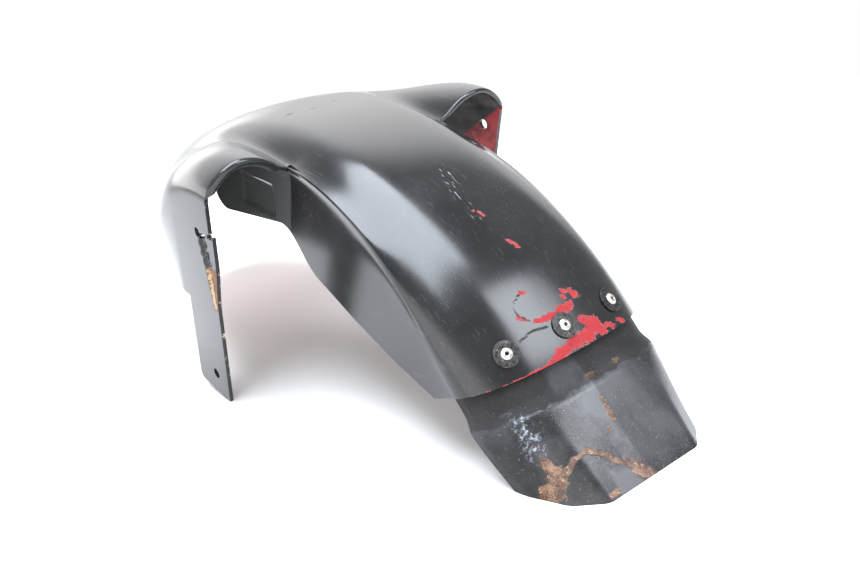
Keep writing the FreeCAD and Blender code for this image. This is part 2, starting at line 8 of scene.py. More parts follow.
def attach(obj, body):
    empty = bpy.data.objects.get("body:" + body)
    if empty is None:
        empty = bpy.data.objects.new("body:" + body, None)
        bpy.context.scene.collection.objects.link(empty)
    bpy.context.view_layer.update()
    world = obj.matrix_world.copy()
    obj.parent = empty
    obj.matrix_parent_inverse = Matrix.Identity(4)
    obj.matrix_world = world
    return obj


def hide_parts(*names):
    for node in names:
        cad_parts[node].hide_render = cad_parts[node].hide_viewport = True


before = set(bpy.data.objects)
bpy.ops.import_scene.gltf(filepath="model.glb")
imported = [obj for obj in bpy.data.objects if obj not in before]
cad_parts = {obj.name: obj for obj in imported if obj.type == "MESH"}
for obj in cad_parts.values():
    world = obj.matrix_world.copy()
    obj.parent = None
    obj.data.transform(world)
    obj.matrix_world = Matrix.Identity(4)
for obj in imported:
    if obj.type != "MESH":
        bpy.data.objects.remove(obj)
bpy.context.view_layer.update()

# A used motorcycle front fender: a moulded shell with two fork hoods, and a mud flap riveted under
# its rear edge. Shapes are worked out in millimetres in the part's own frame: X forward, Y to the
# rider's left, Z up. Angles are measured about the wheel axle, rearward from straight up. A
# cross-section is given by Y and by the depth below the crown line in its own tilted plane.

MILLI = 0.001
TINY = 1e-9
LEFT, RIGHT = 1.0, -1.0
OUTSIDE, INSIDE, RIM = 0, 1, 2

# Crown line, and the tilts of the cross-section planes along it
WALL = 3.0
CROWN_RADIUS = 319.0
AXLE_Z = -118.0
NOSE_ANGLE, ARCH_ANGLE, REAR_ANGLE = -50.0, 10.5, 53.9
NOSE_TILT, ARCH_TILT, REAR_TILT = -70.0, 16.5, 71.0

# Front part with its hoods
HOOD_HALF_WIDTH, NOSE_HALF_WIDTH, NOSE_TAPER = 137.0, 72.0, 1.75
HOOD_SHOULDER, NOSE_SHOULDER, SHOULDER_ANGLE = 30.0, 74.0, 30.0
FRONT_ROUNDNESS = 2.25
VALLEY_DEPTH, VALLEY_WIDTH, VALLEY_PLACE = 15.0, 15.0, 68.0
CREST_HEIGHT, CREST_WIDTH, CREST_PLACE = 11.0, 24.0, 115.0
HOOD_FADE_ANGLE = -10.0
HOOD_TWIST = 6.0

# Rear part: its crown, ridge, grooved side wall and the small rounding at the ridge
REAR_HALF_WIDTH, REAR_SHOULDER, REAR_ROUNDNESS = 79.5, 47.0, 2.7
RIDGE_ARCH, RIDGE_REAR = 70.0, 78.5
GROOVE_ARCH, GROOVE_REAR, GROOVE_DROP = 4.0, 1.5, 6.0
WALL_FLARE, WALL_REACH = 5.0, 110.0
ROUND_IN_ARCH, ROUND_IN_REAR, ROUND_DOWN = 2.0, 0.8, 2.5
ROUND_LEAST, ROUND_RAMP = 0.02, 0.125

# Ears with their bolt holes, and the rolled lips above them
EAR_WIDTH, EAR_DROP, EAR_LEAN, EAR_CORNER = 46.0, 8.0, 2.0, 5.0
BOLT_RADIUS, HOLE_FROM_EDGE = 4.25, 17.0
UPPER_HOLE_LEVEL, LOWER_HOLE_LEVEL = 150.0, 22.0
LIP_RADIUS, RIGHT_LIP_RADIUS, LIP_LEAST = 3.2, 2.0, 0.05
LIP_TURN, LIP_START, LIP_END, LIP_WALL_SHARE = 165.0, 0.1, 0.2, 0.45

# Inner walls under the hoods, with a shallow recess pressed in
INNER_FRONT, INNER_CORNER, INNER_TUCK = 70.0, 18.0, 12.0
INNER_TOP, INNER_FOOT = 178.0, 130.0
RECESS_AHEAD, RECESS_LEVEL, RECESS_DEPTH, RECESS_SLOPE = 2.0, 151.0, 1.6, 1.5
RECESS_HALF_LENGTH, RECESS_HALF_HEIGHT = 22.0, 12.5
RECESS_LEAN, RECESS_RISE = 0.12, 0.1

# Mud flap, washers and rivets
FLAP_WALL, FLAP_OVERLAP, FLAP_SLOPE = 2.8, 35.0, 49.8
FLAP_NECK, FLAP_FLARE = 14.0, 26.0
SEAT_GAP = 0.9
RIVET_ANGLE, RIVET_SPACING = 50.6, 47.0
WASHER_BORE, WASHER_RADIUS, WASHER_HEIGHT, WASHER_LIFT = 2.15, 9.0, 1.2, 0.05
RIVET_BORE, RIVET_SHANK, RIVET_TAIL, RIVET_LIFT = 1.35, 2.0, 9.0, 1.3
HEAD_RADIUS, HEAD_EDGE = 4.0, 0.4
HEAD_CURVE, HEAD_CURVE_LEVEL = 3.2, 1.2
HEAD_MOUTH, HEAD_HEIGHT = 1.75, 1.6
WASHER_ROUNDING, RIVET_ROUNDING, CORNER_PART = 0.35, 0.3, 2.5

# Places that follow from these sizes
REAR_LEVEL = AXLE_Z + CROWN_RADIUS * math.cos(math.radians(REAR_ANGLE))
FLAP_LENGTH = REAR_LEVEL / math.sin(math.radians(FLAP_SLOPE))
FLAP_RUN = FLAP_LENGTH * math.cos(math.radians(FLAP_SLOPE))
NOSE_REACH = -CROWN_RADIUS * math.sin(math.radians(NOSE_ANGLE))
FLAP_REACH = CROWN_RADIUS * math.sin(math.radians(REAR_ANGLE)) + FLAP_RUN
AXLE_X = (FLAP_REACH - NOSE_REACH) / 2
AHEAD = np.array([math.cos(math.radians(ARCH_TILT)), 0.0, math.sin(math.radians(ARCH_TILT))])

# Lower edges seen from the side, as corners of X and Z with a rounding span
PAST_NOSE, PAST_REAR = 600.0, 400.0
SKIRT_X = np.array([-300.0, 58.6, AXLE_X + 90.0, AXLE_X + 182.0, PAST_NOSE])
SKIRT_Z = np.array([86.0, 86.0, 97.0, 78.0, 78.0])
SKIRT_SPAN = 16.0
WALL_SLOPE = math.tan(math.radians(20.5))
WALL_BEND_X, WALL_BEND_Z = AXLE_X - 61.0, 103.0
WALL_X = np.array(
    [WALL_BEND_X - PAST_REAR, WALL_BEND_X, AXLE_X - 33.0, AXLE_X + INNER_FRONT, PAST_NOSE]
)
WALL_Z = np.array([WALL_BEND_Z - PAST_REAR * WALL_SLOPE, WALL_BEND_Z, 134.0, 128.0, 128.0])
WALL_SPAN = 8.0

# Counts of grid points, and how far the searches for lower edges go
CROWN_ROWS, HOOD_ROWS, SIDE_ROWS, EAR_ROWS = 33, 28, 46, 52
FILLET_ROWS, WALL_ROWS, LIP_ROWS = 7, 34, 12
NOSE_COLUMNS, EAR_COLUMNS, REAR_COLUMNS, INNER_COLUMNS = 66, 34, 106, 80
FLAP_COLUMNS, FLAP_ROWS, TURN_COLUMNS, CORNER_STEPS = 82, 110, 49, 5
CROWD, REAR_CROWD = 1.1, 0.4
SKIRT_SEARCH, FOOT_SEARCH, WALL_SEARCH, FLAP_SEARCH = 160.0, 260.0, 140.0, 1.2
HALVINGS, LEVEL_ROUNDS, LINE_STEPS = 40, 12, 9
MERGE_STEPS = 1000
SLOPE_STEP = 0.05
NEAR_STEPS = np.array([-0.1, 0.0, 0.1])


def smooth(share):
    """Share held between 0 and 1, with a level start and end: three squares less two cubes."""
    share = np.clip(share, 0.0, 1.0)
    return share * share * (3 - 2 * share)


def mix(first, second, share):
    """Value that goes evenly from the first to the second."""
    return first + (second - first) * share


def bell(distance, width):
    """Bell curve of height one: e to the minus square of distance over width."""
    return np.exp(-(distance / width) ** 2)


def bend(start, corner, end, t):
    """Quadratic curve from a start to an end that leans towards a corner."""
    return (1 - t) ** 2 * start + 2 * t * (1 - t) * corner + t ** 2 * end


def oval_depth(y, half_width, shoulder, roundness):
    """Depth of a flattened oval below its top, an ellipse with another power than two."""
    share = np.clip(np.abs(y) / half_width, 0.0, 1.0)
    return shoulder * (1 - (1 - share ** roundness) ** (1 / roundness))


def rounded_line(x, corner_x, corner_z, span):
    """Level of a line of corners, rounded by its mean over a span to both sides."""
    steps = np.linspace(-span, span, LINE_STEPS)
    return np.mean([np.interp(x + step, corner_x, corner_z) for step in steps], axis=0)


def plane_tilt(angle):
    """Tilt of the cross-section plane: even steps from nose to hoods and from arch to rear edge."""
    rear = mix(ARCH_TILT, REAR_TILT, (angle - ARCH_ANGLE) / (REAR_ANGLE - ARCH_ANGLE))
    front = mix(ARCH_TILT, NOSE_TILT, angle / NOSE_ANGLE)
    return np.where(angle > ARCH_ANGLE, rear, np.where(angle < 0, front, ARCH_TILT))


def place(angle, y, depth):
    """Point of a cross-section: the crown circle's point, plus the depth along the tilted plane and Y.

    The twist lifts the left hood and lowers the right one, fading to the nose and to the rear edge."""
    turn = np.radians(angle)
    tilt = np.radians(plane_tilt(angle))
    end = np.where(angle > ARCH_ANGLE, REAR_ANGLE, NOSE_ANGLE)
    strength = 1 - smooth((angle - ARCH_ANGLE) / (end - ARCH_ANGLE))
    deep = depth - HOOD_TWIST * strength * y / CREST_PLACE
    x = AXLE_X - CROWN_RADIUS * np.sin(turn) + np.sin(tilt) * deep
    z = AXLE_Z + CROWN_RADIUS * np.cos(turn) - np.cos(tilt) * deep
    return np.stack(np.broadcast_arrays(x, y, z), axis=-1)


def crown_point(angle):
    """Point of the crown line, where Y and the depth are nought."""
    return place(np.array(angle), np.array(0.0), np.array(0.0))


def ahead_of_arch(points):
    """Distance of points ahead of the arch plane."""
    return (points - crown_point(ARCH_ANGLE)) @ AHEAD


def arch_x(level):
    """X of the arch plane at a level, from the plane's tilt."""
    start = crown_point(ARCH_ANGLE)
    return start[0] + (start[2] - level) * math.tan(math.radians(ARCH_TILT))


def front_half_width(angle):
    """Half width of the front part, narrowing to the nose by a power of the way."""
    share = np.clip((ARCH_ANGLE - angle) / (ARCH_ANGLE - NOSE_ANGLE), 0, 1)
    return mix(HOOD_HALF_WIDTH, NOSE_HALF_WIDTH, share ** NOSE_TAPER)


def front_depth(angle, y):
    """Depth of the front part: a flattened oval, with a bell-shaped valley and crest at the hoods."""
    shoulder = mix(HOOD_SHOULDER, NOSE_SHOULDER, smooth((ARCH_ANGLE - angle) / SHOULDER_ANGLE))
    plain = oval_depth(y, front_half_width(angle), shoulder, FRONT_ROUNDNESS)
    strength = smooth((angle - HOOD_FADE_ANGLE) / (ARCH_ANGLE - HOOD_FADE_ANGLE))
    valley = VALLEY_DEPTH * bell(y - VALLEY_PLACE, VALLEY_WIDTH)
    crest = CREST_HEIGHT * bell(y - CREST_PLACE, CREST_WIDTH)
    return plain + strength * (valley - crest)


def rear_share(angle):
    """Share of the way from the arch to the rear edge."""
    return np.clip((angle - ARCH_ANGLE) / (REAR_ANGLE - ARCH_ANGLE), 0, 1)


def rear_depth(angle, y):
    """Depth of the rear crown: the arch's own shape, passing into a flattened oval."""
    share = 1 - (1 - rear_share(angle)) ** 2
    rear = oval_depth(y, REAR_HALF_WIDTH, REAR_SHOULDER, REAR_ROUNDNESS)
    return mix(front_depth(ARCH_ANGLE, y), rear, share)


def ridge_half_width(angle):
    """Y of the ridge that ends the rear crown."""
    return mix(RIDGE_ARCH, RIDGE_REAR, smooth(rear_share(angle)))


def wall_y(angle, fall):
    """Y of the side wall at a fall below the ridge: a groove that dies out, then a slight flare."""
    groove = mix(GROOVE_ARCH, GROOVE_REAR, rear_share(angle)) * (1 - np.exp(-fall / GROOVE_DROP))
    return ridge_half_width(angle) - groove + WALL_FLARE * fall / WALL_REACH


def first_crossing(height, low, high):
    """Where a falling height passes zero between two arrays of places, by halving the span."""
    for _ in range(HALVINGS):
        middle = (low + high) / 2
        above = height(middle) > 0
        low = np.where(above, middle, low)
        high = np.where(above, high, middle)
    return (low + high) / 2


def grid_faces(rows, columns, start, flip):
    """Four-cornered faces of a grid of points that begins at a start number."""
    number = start + np.arange(rows * columns).reshape(rows, columns)
    corners = [number[:-1, :-1], number[1:, :-1], number[1:, 1:], number[:-1, 1:]]
    faces = np.stack([corner.ravel() for corner in corners], axis=-1)
    return faces[:, ::-1] if flip else faces


class Sheet:
    """Open surface gathered from grids, with values held at its points."""

    def __init__(self, names):
        self.points = []
        self.faces = []
        self.values = {name: [] for name in names}
        self.count = 0

    def add(self, grid, flip, **values):
        """A grid of points is appended, with a number or an array for each value."""
        rows, columns = grid.shape[:2]
        self.points.append(grid.reshape(-1, 3))
        self.faces.append(grid_faces(rows, columns, self.count, flip))
        for name in self.values:
            value = np.broadcast_to(values.get(name, 0.0), (rows, columns))
            self.values[name].append(value.astype(float).ravel())
        self.count += rows * columns

    def merged(self):
        """Points that coincide are joined, by rounding them to a thousandth of a millimetre."""
        points = np.concatenate(self.points)
        faces = np.concatenate(self.faces)
        keys = np.round(points * MERGE_STEPS).astype(np.int64)
        _, first, back = np.unique(keys, axis=0, return_index=True, return_inverse=True)
        values = {name: np.concatenate(value)[first] for name, value in self.values.items()}
        return points[first], back.reshape(-1)[faces], values


def unit(vectors):
    """Vectors of length one along the last axis."""
    return vectors / np.maximum(np.linalg.norm(vectors, axis=-1, keepdims=True), TINY)


def point_normals(points, faces):
    """Mean of the outward directions of the faces around each point."""
    a, b, c, d = (points[faces[:, i]] for i in range(4))
    outward = np.cross(c - a, d - b)
    normals = np.zeros_like(points)
    for i in range(4):
        np.add.at(normals, faces[:, i], outward)
    return unit(normals)


def thickened(points, faces, thickness):
    """Closed skin: the surface, the same surface moved inward along its normals, and a rim between.

    Returns points, faces, and for each face whether it is outside, inside or on the rim."""
    inner = points - point_normals(points, faces) * np.reshape(thickness, (-1, 1))
    count = len(points)
    edges = np.concatenate([faces[:, [i, (i + 1) % 4]] for i in range(4)])
    forward = edges[:, 0] * count + edges[:, 1]
    backward = edges[:, 1] * count + edges[:, 0]
    start, end = edges[~np.isin(forward, backward)].T
    rim = np.stack([end, start, start + count, end + count], axis=-1)
    all_faces = np.concatenate([faces, faces[:, ::-1] + count, rim])
    side = np.repeat([OUTSIDE, INSIDE, RIM], [len(faces), len(faces), len(rim)])
    return np.concatenate([points, inner]), all_faces, side


def on_both_skins(values):
    """Point values of a surface, repeated for its inner skin."""
    return {name: np.concatenate([value, value]) for name, value in values.items()}


def add_piece(name, points, faces, materials, side=None, values=None):
    """Mesh object at the origin, in metres, smooth, with its values as point attributes."""
    mesh = bpy.data.meshes.new(name)
    mesh.from_pydata((points * MILLI).tolist(), [], faces.tolist())
    for item in materials:
        mesh.materials.append(item)
    mesh.polygons.foreach_set("use_smooth", np.ones(len(mesh.polygons), dtype=bool))
    if side is not None:
        index = np.minimum(side, len(materials) - 1).astype(np.int32)
        mesh.polygons.foreach_set("material_index", index)
    for key, value in (values or {}).items():
        layer = mesh.attributes.new(key, "FLOAT", "POINT")
        layer.data.foreach_set("value", np.asarray(value, dtype=np.float32))
    mesh.update()
    if side is not None:
        mark_rim(mesh, side)
    piece = bpy.data.objects.new(name, mesh)
    bpy.context.scene.collection.objects.link(piece)
    return piece


def mark_rim(mesh, side):
    """Edges between a rim face and another face are shaded sharp."""
    loop_edges = np.empty(len(mesh.loops), dtype=np.int32)
    mesh.loops.foreach_get("edge_index", loop_edges)
    totals = np.empty(len(mesh.polygons), dtype=np.int32)
    mesh.polygons.foreach_get("loop_total", totals)
    loop_side = np.repeat(side, totals)
    on_rim = np.zeros(len(mesh.edges), dtype=bool)
    off_rim = np.zeros(len(mesh.edges), dtype=bool)
    on_rim[loop_edges[loop_side == RIM]] = True
    off_rim[loop_edges[loop_side != RIM]] = True
    layer = mesh.attributes.new("sharp_edge", "BOOLEAN", "EDGE")
    layer.data.foreach_set("value", on_rim & off_rim)


def crown_share(share):
    """Even steps from nought to one that crowd a little towards the end, by a sine."""
    return np.sin(CROWD * share) / math.sin(CROWD)


def side_point(angle, side, depth, drop):
    """Point of the straight side at a drop below the hood's outer edge, leaning inward."""
    lean = math.tan(math.radians(EAR_LEAN))
    return place(angle, side * (front_half_width(angle) - lean * drop), depth + drop)


def front_grid(angles, side):
    """Half of the front part, one section a row: crown, hood and straight side to the skirt line."""
    angle = angles[:, None]
    half_width = front_half_width(angle)
    ridge = RIDGE_ARCH * half_width / HOOD_HALF_WIDTH
    crown_y = ridge * crown_share(np.linspace(0, 1, CROWN_ROWS))[None]
    hood_y = mix(ridge, half_width, np.sin(np.linspace(0, math.pi / 2, HOOD_ROWS)[1:])[None])
    y = np.concatenate([crown_y, hood_y], axis=1)
    depth = front_depth(angle, y)
    edge_depth = depth[:, -1:]

    def over_skirt(drop):
        point = side_point(angle, side, edge_depth, drop)
        return point[..., 2] - rounded_line(point[..., 0], SKIRT_X, SKIRT_Z, SKIRT_SPAN)

    drop_end = first_crossing(over_skirt, np.zeros_like(angle), np.full_like(angle, SKIRT_SEARCH))
    drops = drop_end * np.linspace(0, 1, SIDE_ROWS + 1)[None, 1:]
    straight = side_point(angle, side, edge_depth, drops)
    return np.concatenate([place(angle, side * y, depth), straight], axis=1), drop_end


def ear_grid(angles, side, drop_start):
    """Ear below the skirt line: the straight side carried down to a foot that rises to the front."""
    angle = angles[:, None]
    depth = front_depth(angle, front_half_width(angle))

    def over_foot(drop):
        point = side_point(angle, side, depth, drop)
        ahead = ahead_of_arch(point)
        corner = np.clip((ahead - EAR_WIDTH + EAR_CORNER) / EAR_CORNER, 0, 1)
        foot = EAR_DROP * ahead / EAR_WIDTH + EAR_CORNER * (1 - np.sqrt(1 - corner ** 2))
        return point[..., 2] - foot

    drop_end = first_crossing(over_foot, drop_start, np.full_like(drop_start, FOOT_SEARCH))
    drops = mix(drop_start, drop_end, np.linspace(0, 1, EAR_ROWS)[None])
    return side_point(angle, side, depth, drops)


def rear_grid(angles, side):
    """Half of the rear part: crown, a small rounding at the ridge, and the side wall to its edge."""
    angle = angles[:, None]
    ridge = ridge_half_width(angle)
    fade = mix(ROUND_LEAST, 1.0, smooth(rear_share(angle) / ROUND_RAMP))
    round_in = mix(ROUND_IN_ARCH, ROUND_IN_REAR, rear_share(angle)) * fade
    round_fall = ROUND_DOWN * fade
    crown_y = (ridge - round_in) * crown_share(np.linspace(0, 1, CROWN_ROWS))[None]
    crown_depth = rear_depth(angle, crown_y)
    corner_depth = rear_depth(angle, ridge)
    t = np.linspace(0, 1, FILLET_ROWS)[None, 1:]
    round_y = bend(crown_y[:, -1:], ridge, wall_y(angle, round_fall), t)
    round_depth = bend(crown_depth[:, -1:], corner_depth, corner_depth + round_fall, t)

    def wall_point(fall):
        return place(angle, side * wall_y(angle, fall), corner_depth + fall)

    def over_edge(fall):
        point = wall_point(fall)
        return point[..., 2] - rounded_line(point[..., 0], WALL_X, WALL_Z, WALL_SPAN)

    fall_end = first_crossing(over_edge, round_fall, np.full_like(round_fall, WALL_SEARCH))
    falls = mix(round_fall, fall_end, np.linspace(0, 1, WALL_ROWS)[None, 1:])
    y = np.concatenate([crown_y, round_y], axis=1)
    depth = np.concatenate([crown_depth, round_depth], axis=1)
    return np.concatenate([place(angle, side * y, depth), wall_point(falls)], axis=1)


def recess_share(x, z):
    """One inside a leaning rectangle on the inner wall, nought outside, with a short slope between."""
    across = np.abs(x - AXLE_X - RECESS_AHEAD + RECESS_LEAN * (z - RECESS_LEVEL))
    up = np.abs(z - RECESS_LEVEL - RECESS_RISE * (x - AXLE_X))
    inside_length = smooth((RECESS_HALF_LENGTH - across) / RECESS_SLOPE + 0.5)
    return inside_length * smooth((RECESS_HALF_HEIGHT - up) / RECESS_SLOPE + 0.5)


def inner_wall_grid(side, arch_column, front_angles):
    """Wall under a hood: the arch end of the side wall carried forward, from its edge up to the skin.

    Columns run from the arch line to the front edge, rows from the skin down. The levels start from
    a guess and are worked out again a few times, because the arch line leans."""
    valley = np.full_like(front_angles, VALLEY_PLACE)
    line = place(front_angles, side * valley, front_depth(front_angles, VALLEY_PLACE))
    line = line[np.argsort(line[:, 0])]
    share = np.linspace(0, 1, INNER_COLUMNS)[:, None]
    row = np.linspace(0, 1, len(arch_column))[None]
    z = mix(INNER_TOP, INNER_FOOT, row) + 0 * share
    front_x = AXLE_X + INNER_FRONT
    for _ in range(LEVEL_ROUNDS):
        x = mix(arch_x(z), front_x, share)
        top = np.interp(x, line[:, 0], line[:, 2]) - WALL / 2 * smooth(share * INNER_TUCK)
        corner = np.clip((x - front_x + INNER_CORNER) / INNER_CORNER, 0, 1)
        rise = INNER_CORNER * (1 - np.sqrt(1 - corner ** 2))
        z = mix(top, rounded_line(x, WALL_X, WALL_Z, WALL_SPAN) + rise, row)
    start = crown_point(ARCH_ANGLE)
    turn = math.radians(ARCH_TILT)
    lift = HOOD_TWIST * side * RIDGE_ARCH / CREST_PLACE
    depth = math.sin(turn) * (x - start[0]) - math.cos(turn) * (z - start[2]) + lift
    fall = np.maximum(depth - front_depth(ARCH_ANGLE, RIDGE_ARCH), 0)
    y = side * (wall_y(ARCH_ANGLE, fall) - RECESS_DEPTH * recess_share(x, z))
    grid = np.stack(np.broadcast_arrays(x, y, z), axis=-1)
    grid[0] = arch_column
    return grid


def lip_grid(hood_line, side):
    """Rolled lip along the rear edge of a hood: an arc about the edge, turned rearward and inward.

    Returns the grid and its wall, a share of the lip's radius, which fades at both ends."""
    along = unit(np.gradient(hood_line, axis=0))
    outward = np.cross(along, AHEAD) * -side
    share = np.linspace(0, 1, len(hood_line))
    reach = LIP_RADIUS if side > 0 else RIGHT_LIP_RADIUS
    radius = reach * smooth(share / LIP_START) * smooth((1 - share) / LIP_END) + LIP_LEAST
    radius = radius[None, :, None]
    turn = np.radians(np.linspace(0, LIP_TURN, LIP_ROWS))[:, None, None]
    rearward = AHEAD * radius * np.sin(turn)
    inward = outward[None] * radius * (1 - np.cos(turn))
    return hood_line[None] - rearward - inward, LIP_WALL_SHARE * radius[..., 0]


def cut_bolt_hole(points, faces, side, level):
    """Faces inside an ear's hole go, and points left inside it are moved out to its round edge."""
    centre_x = arch_x(level - HOLE_FROM_EDGE * AHEAD[2]) + HOLE_FROM_EDGE * AHEAD[0]
    centre = np.array([centre_x, level])
    flat = points[:, [0, 2]] - centre
    reach = np.linalg.norm(flat, axis=1, keepdims=True)
    on_ear = side * points[:, 1] > (CREST_PLACE + HOOD_HALF_WIDTH) / 2
    inside = on_ear & (reach[:, 0] < BOLT_RADIUS)
    kept = ~np.all(inside[faces], axis=1)
    moved = points.copy()
    moved[np.ix_(inside, [0, 2])] = (centre + flat * (BOLT_RADIUS / np.maximum(reach, TINY)))[inside]
    return moved, faces[kept]


# Marks of wear as strokes: two ends, each a length along and a Y, and a half width. On the crown the
# length is counted behind the arch, on the flap behind the shell's rear edge.
CHIPS = [
    ((226, -16), (238, -26), 5.0),
    ((231, -24), (237, -12), 6.5),
    ((236, -14), (236, 0), 6.0),
    ((236, 0), (238, 13), 5.0),
    ((238, 12), (242, 22), 4.5),
    ((242, 22), (243, 40), 3.0),
    ((243, 40), (243, 56), 2.2),
    ((243, 56), (243, 75), 1.7),
    ((236, -33), (239, -36), 2.6),
    ((237, -44), (240, -48), 2.2),
    ((205, -20), (209, -22), 3.2),
    ((213, -13), (214, -2), 4.2),
    ((214, -2), (214, 10), 3.2),
    ((214, 10), (212, 17), 2.2),
    ((202, -15), (207, -12), 1.8),
    ((193, 13), (191, 15), 1.8),
    ((205, 27), (209, 24), 1.6),
    ((125, 2), (129, 0), 1.5),
    ((155, -3), (161, -6), 1.6),
]
HAIRLINES = [
    ((220, 36), (217, 24), 3.2),
    ((217, 24), (219, 12), 3.2),
    ((191, 15), (196, 25), 3.2),
    ((196, 25), (204, 26), 3.2),
    ((204, 26), (211, 21), 3.2),
    ((-62, 36), (-56, 10), 3.2),
    ((-56, 10), (-60, -14), 3.2),
    ((-68, 76), (-70, 100), 3.2),
    ((-70, 100), (-62, 124), 3.2),
    ((-96, 104), (-84, 118), 3.2),
]
SCRATCHES = [
    ((77, -6), (103, 2), 7.0),
    ((103, 2), (128, 5), 6.0),
    ((-80, 120), (-50, 90), 10.0),
]
STAINS = [
    ((52, 59), (58, 57), 4.5),
    ((58, 57), (66, 57), 6.5),
    ((66, 58), (72, 61), 6.5),
    ((66, 64), (72, 63), 4.5),
    ((64, 54), (58, 45), 3.2),
    ((58, 45), (57, 35), 2.8),
    ((57, 35), (65, 25), 3.4),
    ((65, 25), (77, 15), 3.6),
    ((78, 13), (88, 2), 7.0),
    ((32, 4), (48, 5), 3.2),
    ((18, 5), (19, -5), 2.4),
    ((18, -18), (18, -26), 2.0),
    ((52, 12), (54, 12), 2.0),
    ((88, 37), (88, 31), 3.0),
]

# Crack of the left ear: its levels, its reach ahead of the rear edge, and the strip behind it
CRACK_FOOT, CRACK_TOP, CRACK_GAPE, CRACK_SHOWN = 84.0, 149.0, 144.0, 116.0
CRACK_LEVELS = [CRACK_FOOT, 105.0, 125.0, UPPER_HOLE_LEVEL]
CRACK_REACHES = [2.5, 6.5, 11.0, HOLE_FROM_EDGE]
CRACK_WAVES = ((0.7, 0.9), (0.5, 2.3))
TOP_WAVE_HEIGHT, TOP_WAVE_RATE = 1.5, 1.3
CRACK_HALF_WIDTH, CRACK_EDGE_FADE, CRACK_SHOWN_FADE = 1.5, 0.9, 10.0
STRIP_PUSH, STRIP_RISE = 2.4, 45.0
FIBRE_TOP, FIBRE_PALE_WIDTH, FIBRE_LEAST = 124.0, 2.2, 0.6
FIBRE_TOP_FADE, FIBRE_FOOT_FADE = 4.0, 5.0

# Inside left unpainted: the right ear behind a sloping line, and the nose
BARE_EAR_REACH, BARE_EAR_SLOPE, BARE_EAR_FADE = 22.0, 1.3, 5.0
BARE_NOSE_X, BARE_NOSE_FADE = 165.0, 25.0


def stroke_weight(along, across, strokes):
    """Largest of several round-ended strokes: one on the stroke's line, nought at its half width."""
    weight = np.zeros_like(along)
    for (along1, across1), (along2, across2), width in strokes:
        step_along, step_across = along2 - along1, across2 - across1
        length = max(step_along ** 2 + step_across ** 2, TINY)
        share = ((along - along1) * step_along + (across - across1) * step_across) / length
        share = np.clip(share, 0, 1)
        reach = np.hypot(along - along1 - share * step_along, across - across1 - share * step_across)
        weight = np.maximum(weight, 1 - reach / width)
    return np.clip(weight, 0, 1)


def crack_reach(level):
    """Distance of the crack ahead of the ear's rear edge at a level: a bent line and two small waves."""
    reach = np.interp(level, CRACK_LEVELS, CRACK_REACHES)
    for height, rate in CRACK_WAVES:
        reach = reach + height * np.sin(level * rate)
    return reach


def push_cracked_strip(points, faces):
    """The strip behind the left ear's crack stands inward, most at its top, where the crack gapes.

    Returns points, faces, and at each point the shares of bare fibre and of dark crack."""
    level = points[:, 2]
    ahead = ahead_of_arch(points)
    ragged_top = CRACK_TOP + TOP_WAVE_HEIGHT * np.sin(ahead * TOP_WAVE_RATE)
    on_ear = (points[:, 1] > CREST_PLACE) & (level > CRACK_FOOT) & (level < ragged_top)
    strip = on_ear & (ahead < crack_reach(level))
    push = STRIP_PUSH * smooth((level - CRACK_FOOT) / STRIP_RISE)
    moved = points.copy()
    moved[strip, 1] -= push[strip]
    count = strip[faces].sum(axis=1)
    gape = (count > 0) & (count < 4) & (level[faces].mean(axis=1) > CRACK_GAPE)
    reach = np.abs(ahead - crack_reach(level))
    near = on_ear & (ahead < crack_reach(level) + CRACK_HALF_WIDTH)
    fibre = near * smooth((FIBRE_TOP - level) / FIBRE_TOP_FADE)
    fibre = fibre * smooth((level - CRACK_FOOT) / FIBRE_FOOT_FADE)
    fibre = fibre * mix(FIBRE_LEAST, 1.0, smooth(FIBRE_PALE_WIDTH - reach))
    crack = on_ear * smooth((CRACK_HALF_WIDTH - reach) / CRACK_EDGE_FADE)
    crack = crack * smooth((level - CRACK_SHOWN) / CRACK_SHOWN_FADE)
    return moved, faces[~gape], fibre, crack


def unpainted(points):
    """Share of the inside left red: the lower inside of the right ear, and under the nose."""
    rise = points[:, 2] - UPPER_HOLE_LEVEL
    behind = BARE_EAR_REACH - BARE_EAR_SLOPE * rise - ahead_of_arch(points)
    ear = smooth(behind / BARE_EAR_FADE + 0.5) * (points[:, 1] < -CREST_PLACE)
    return np.maximum(ear, smooth((points[:, 0] - BARE_NOSE_X) / BARE_NOSE_FADE))


def shell_angles():
    """Angles of the sections: from the nose to the ears, over the ears, and from arch to rear edge."""
    start = np.array([0.0])
    ear_angle = first_crossing(
        lambda angle: ahead_of_arch(place(angle, 0 * angle, 0 * angle)) - EAR_WIDTH,
        start,
        start + ARCH_ANGLE,
    )[0]
    nose_angles = np.linspace(NOSE_ANGLE, ear_angle, NOSE_COLUMNS)[:-1]
    ear_angles = np.linspace(ear_angle, ARCH_ANGLE, EAR_COLUMNS)
    share = np.linspace(0, 1, REAR_COLUMNS)
    rear_angles = mix(ARCH_ANGLE, REAR_ANGLE, share + REAR_CROWD * share * (1 - share))
    return nose_angles, ear_angles, rear_angles


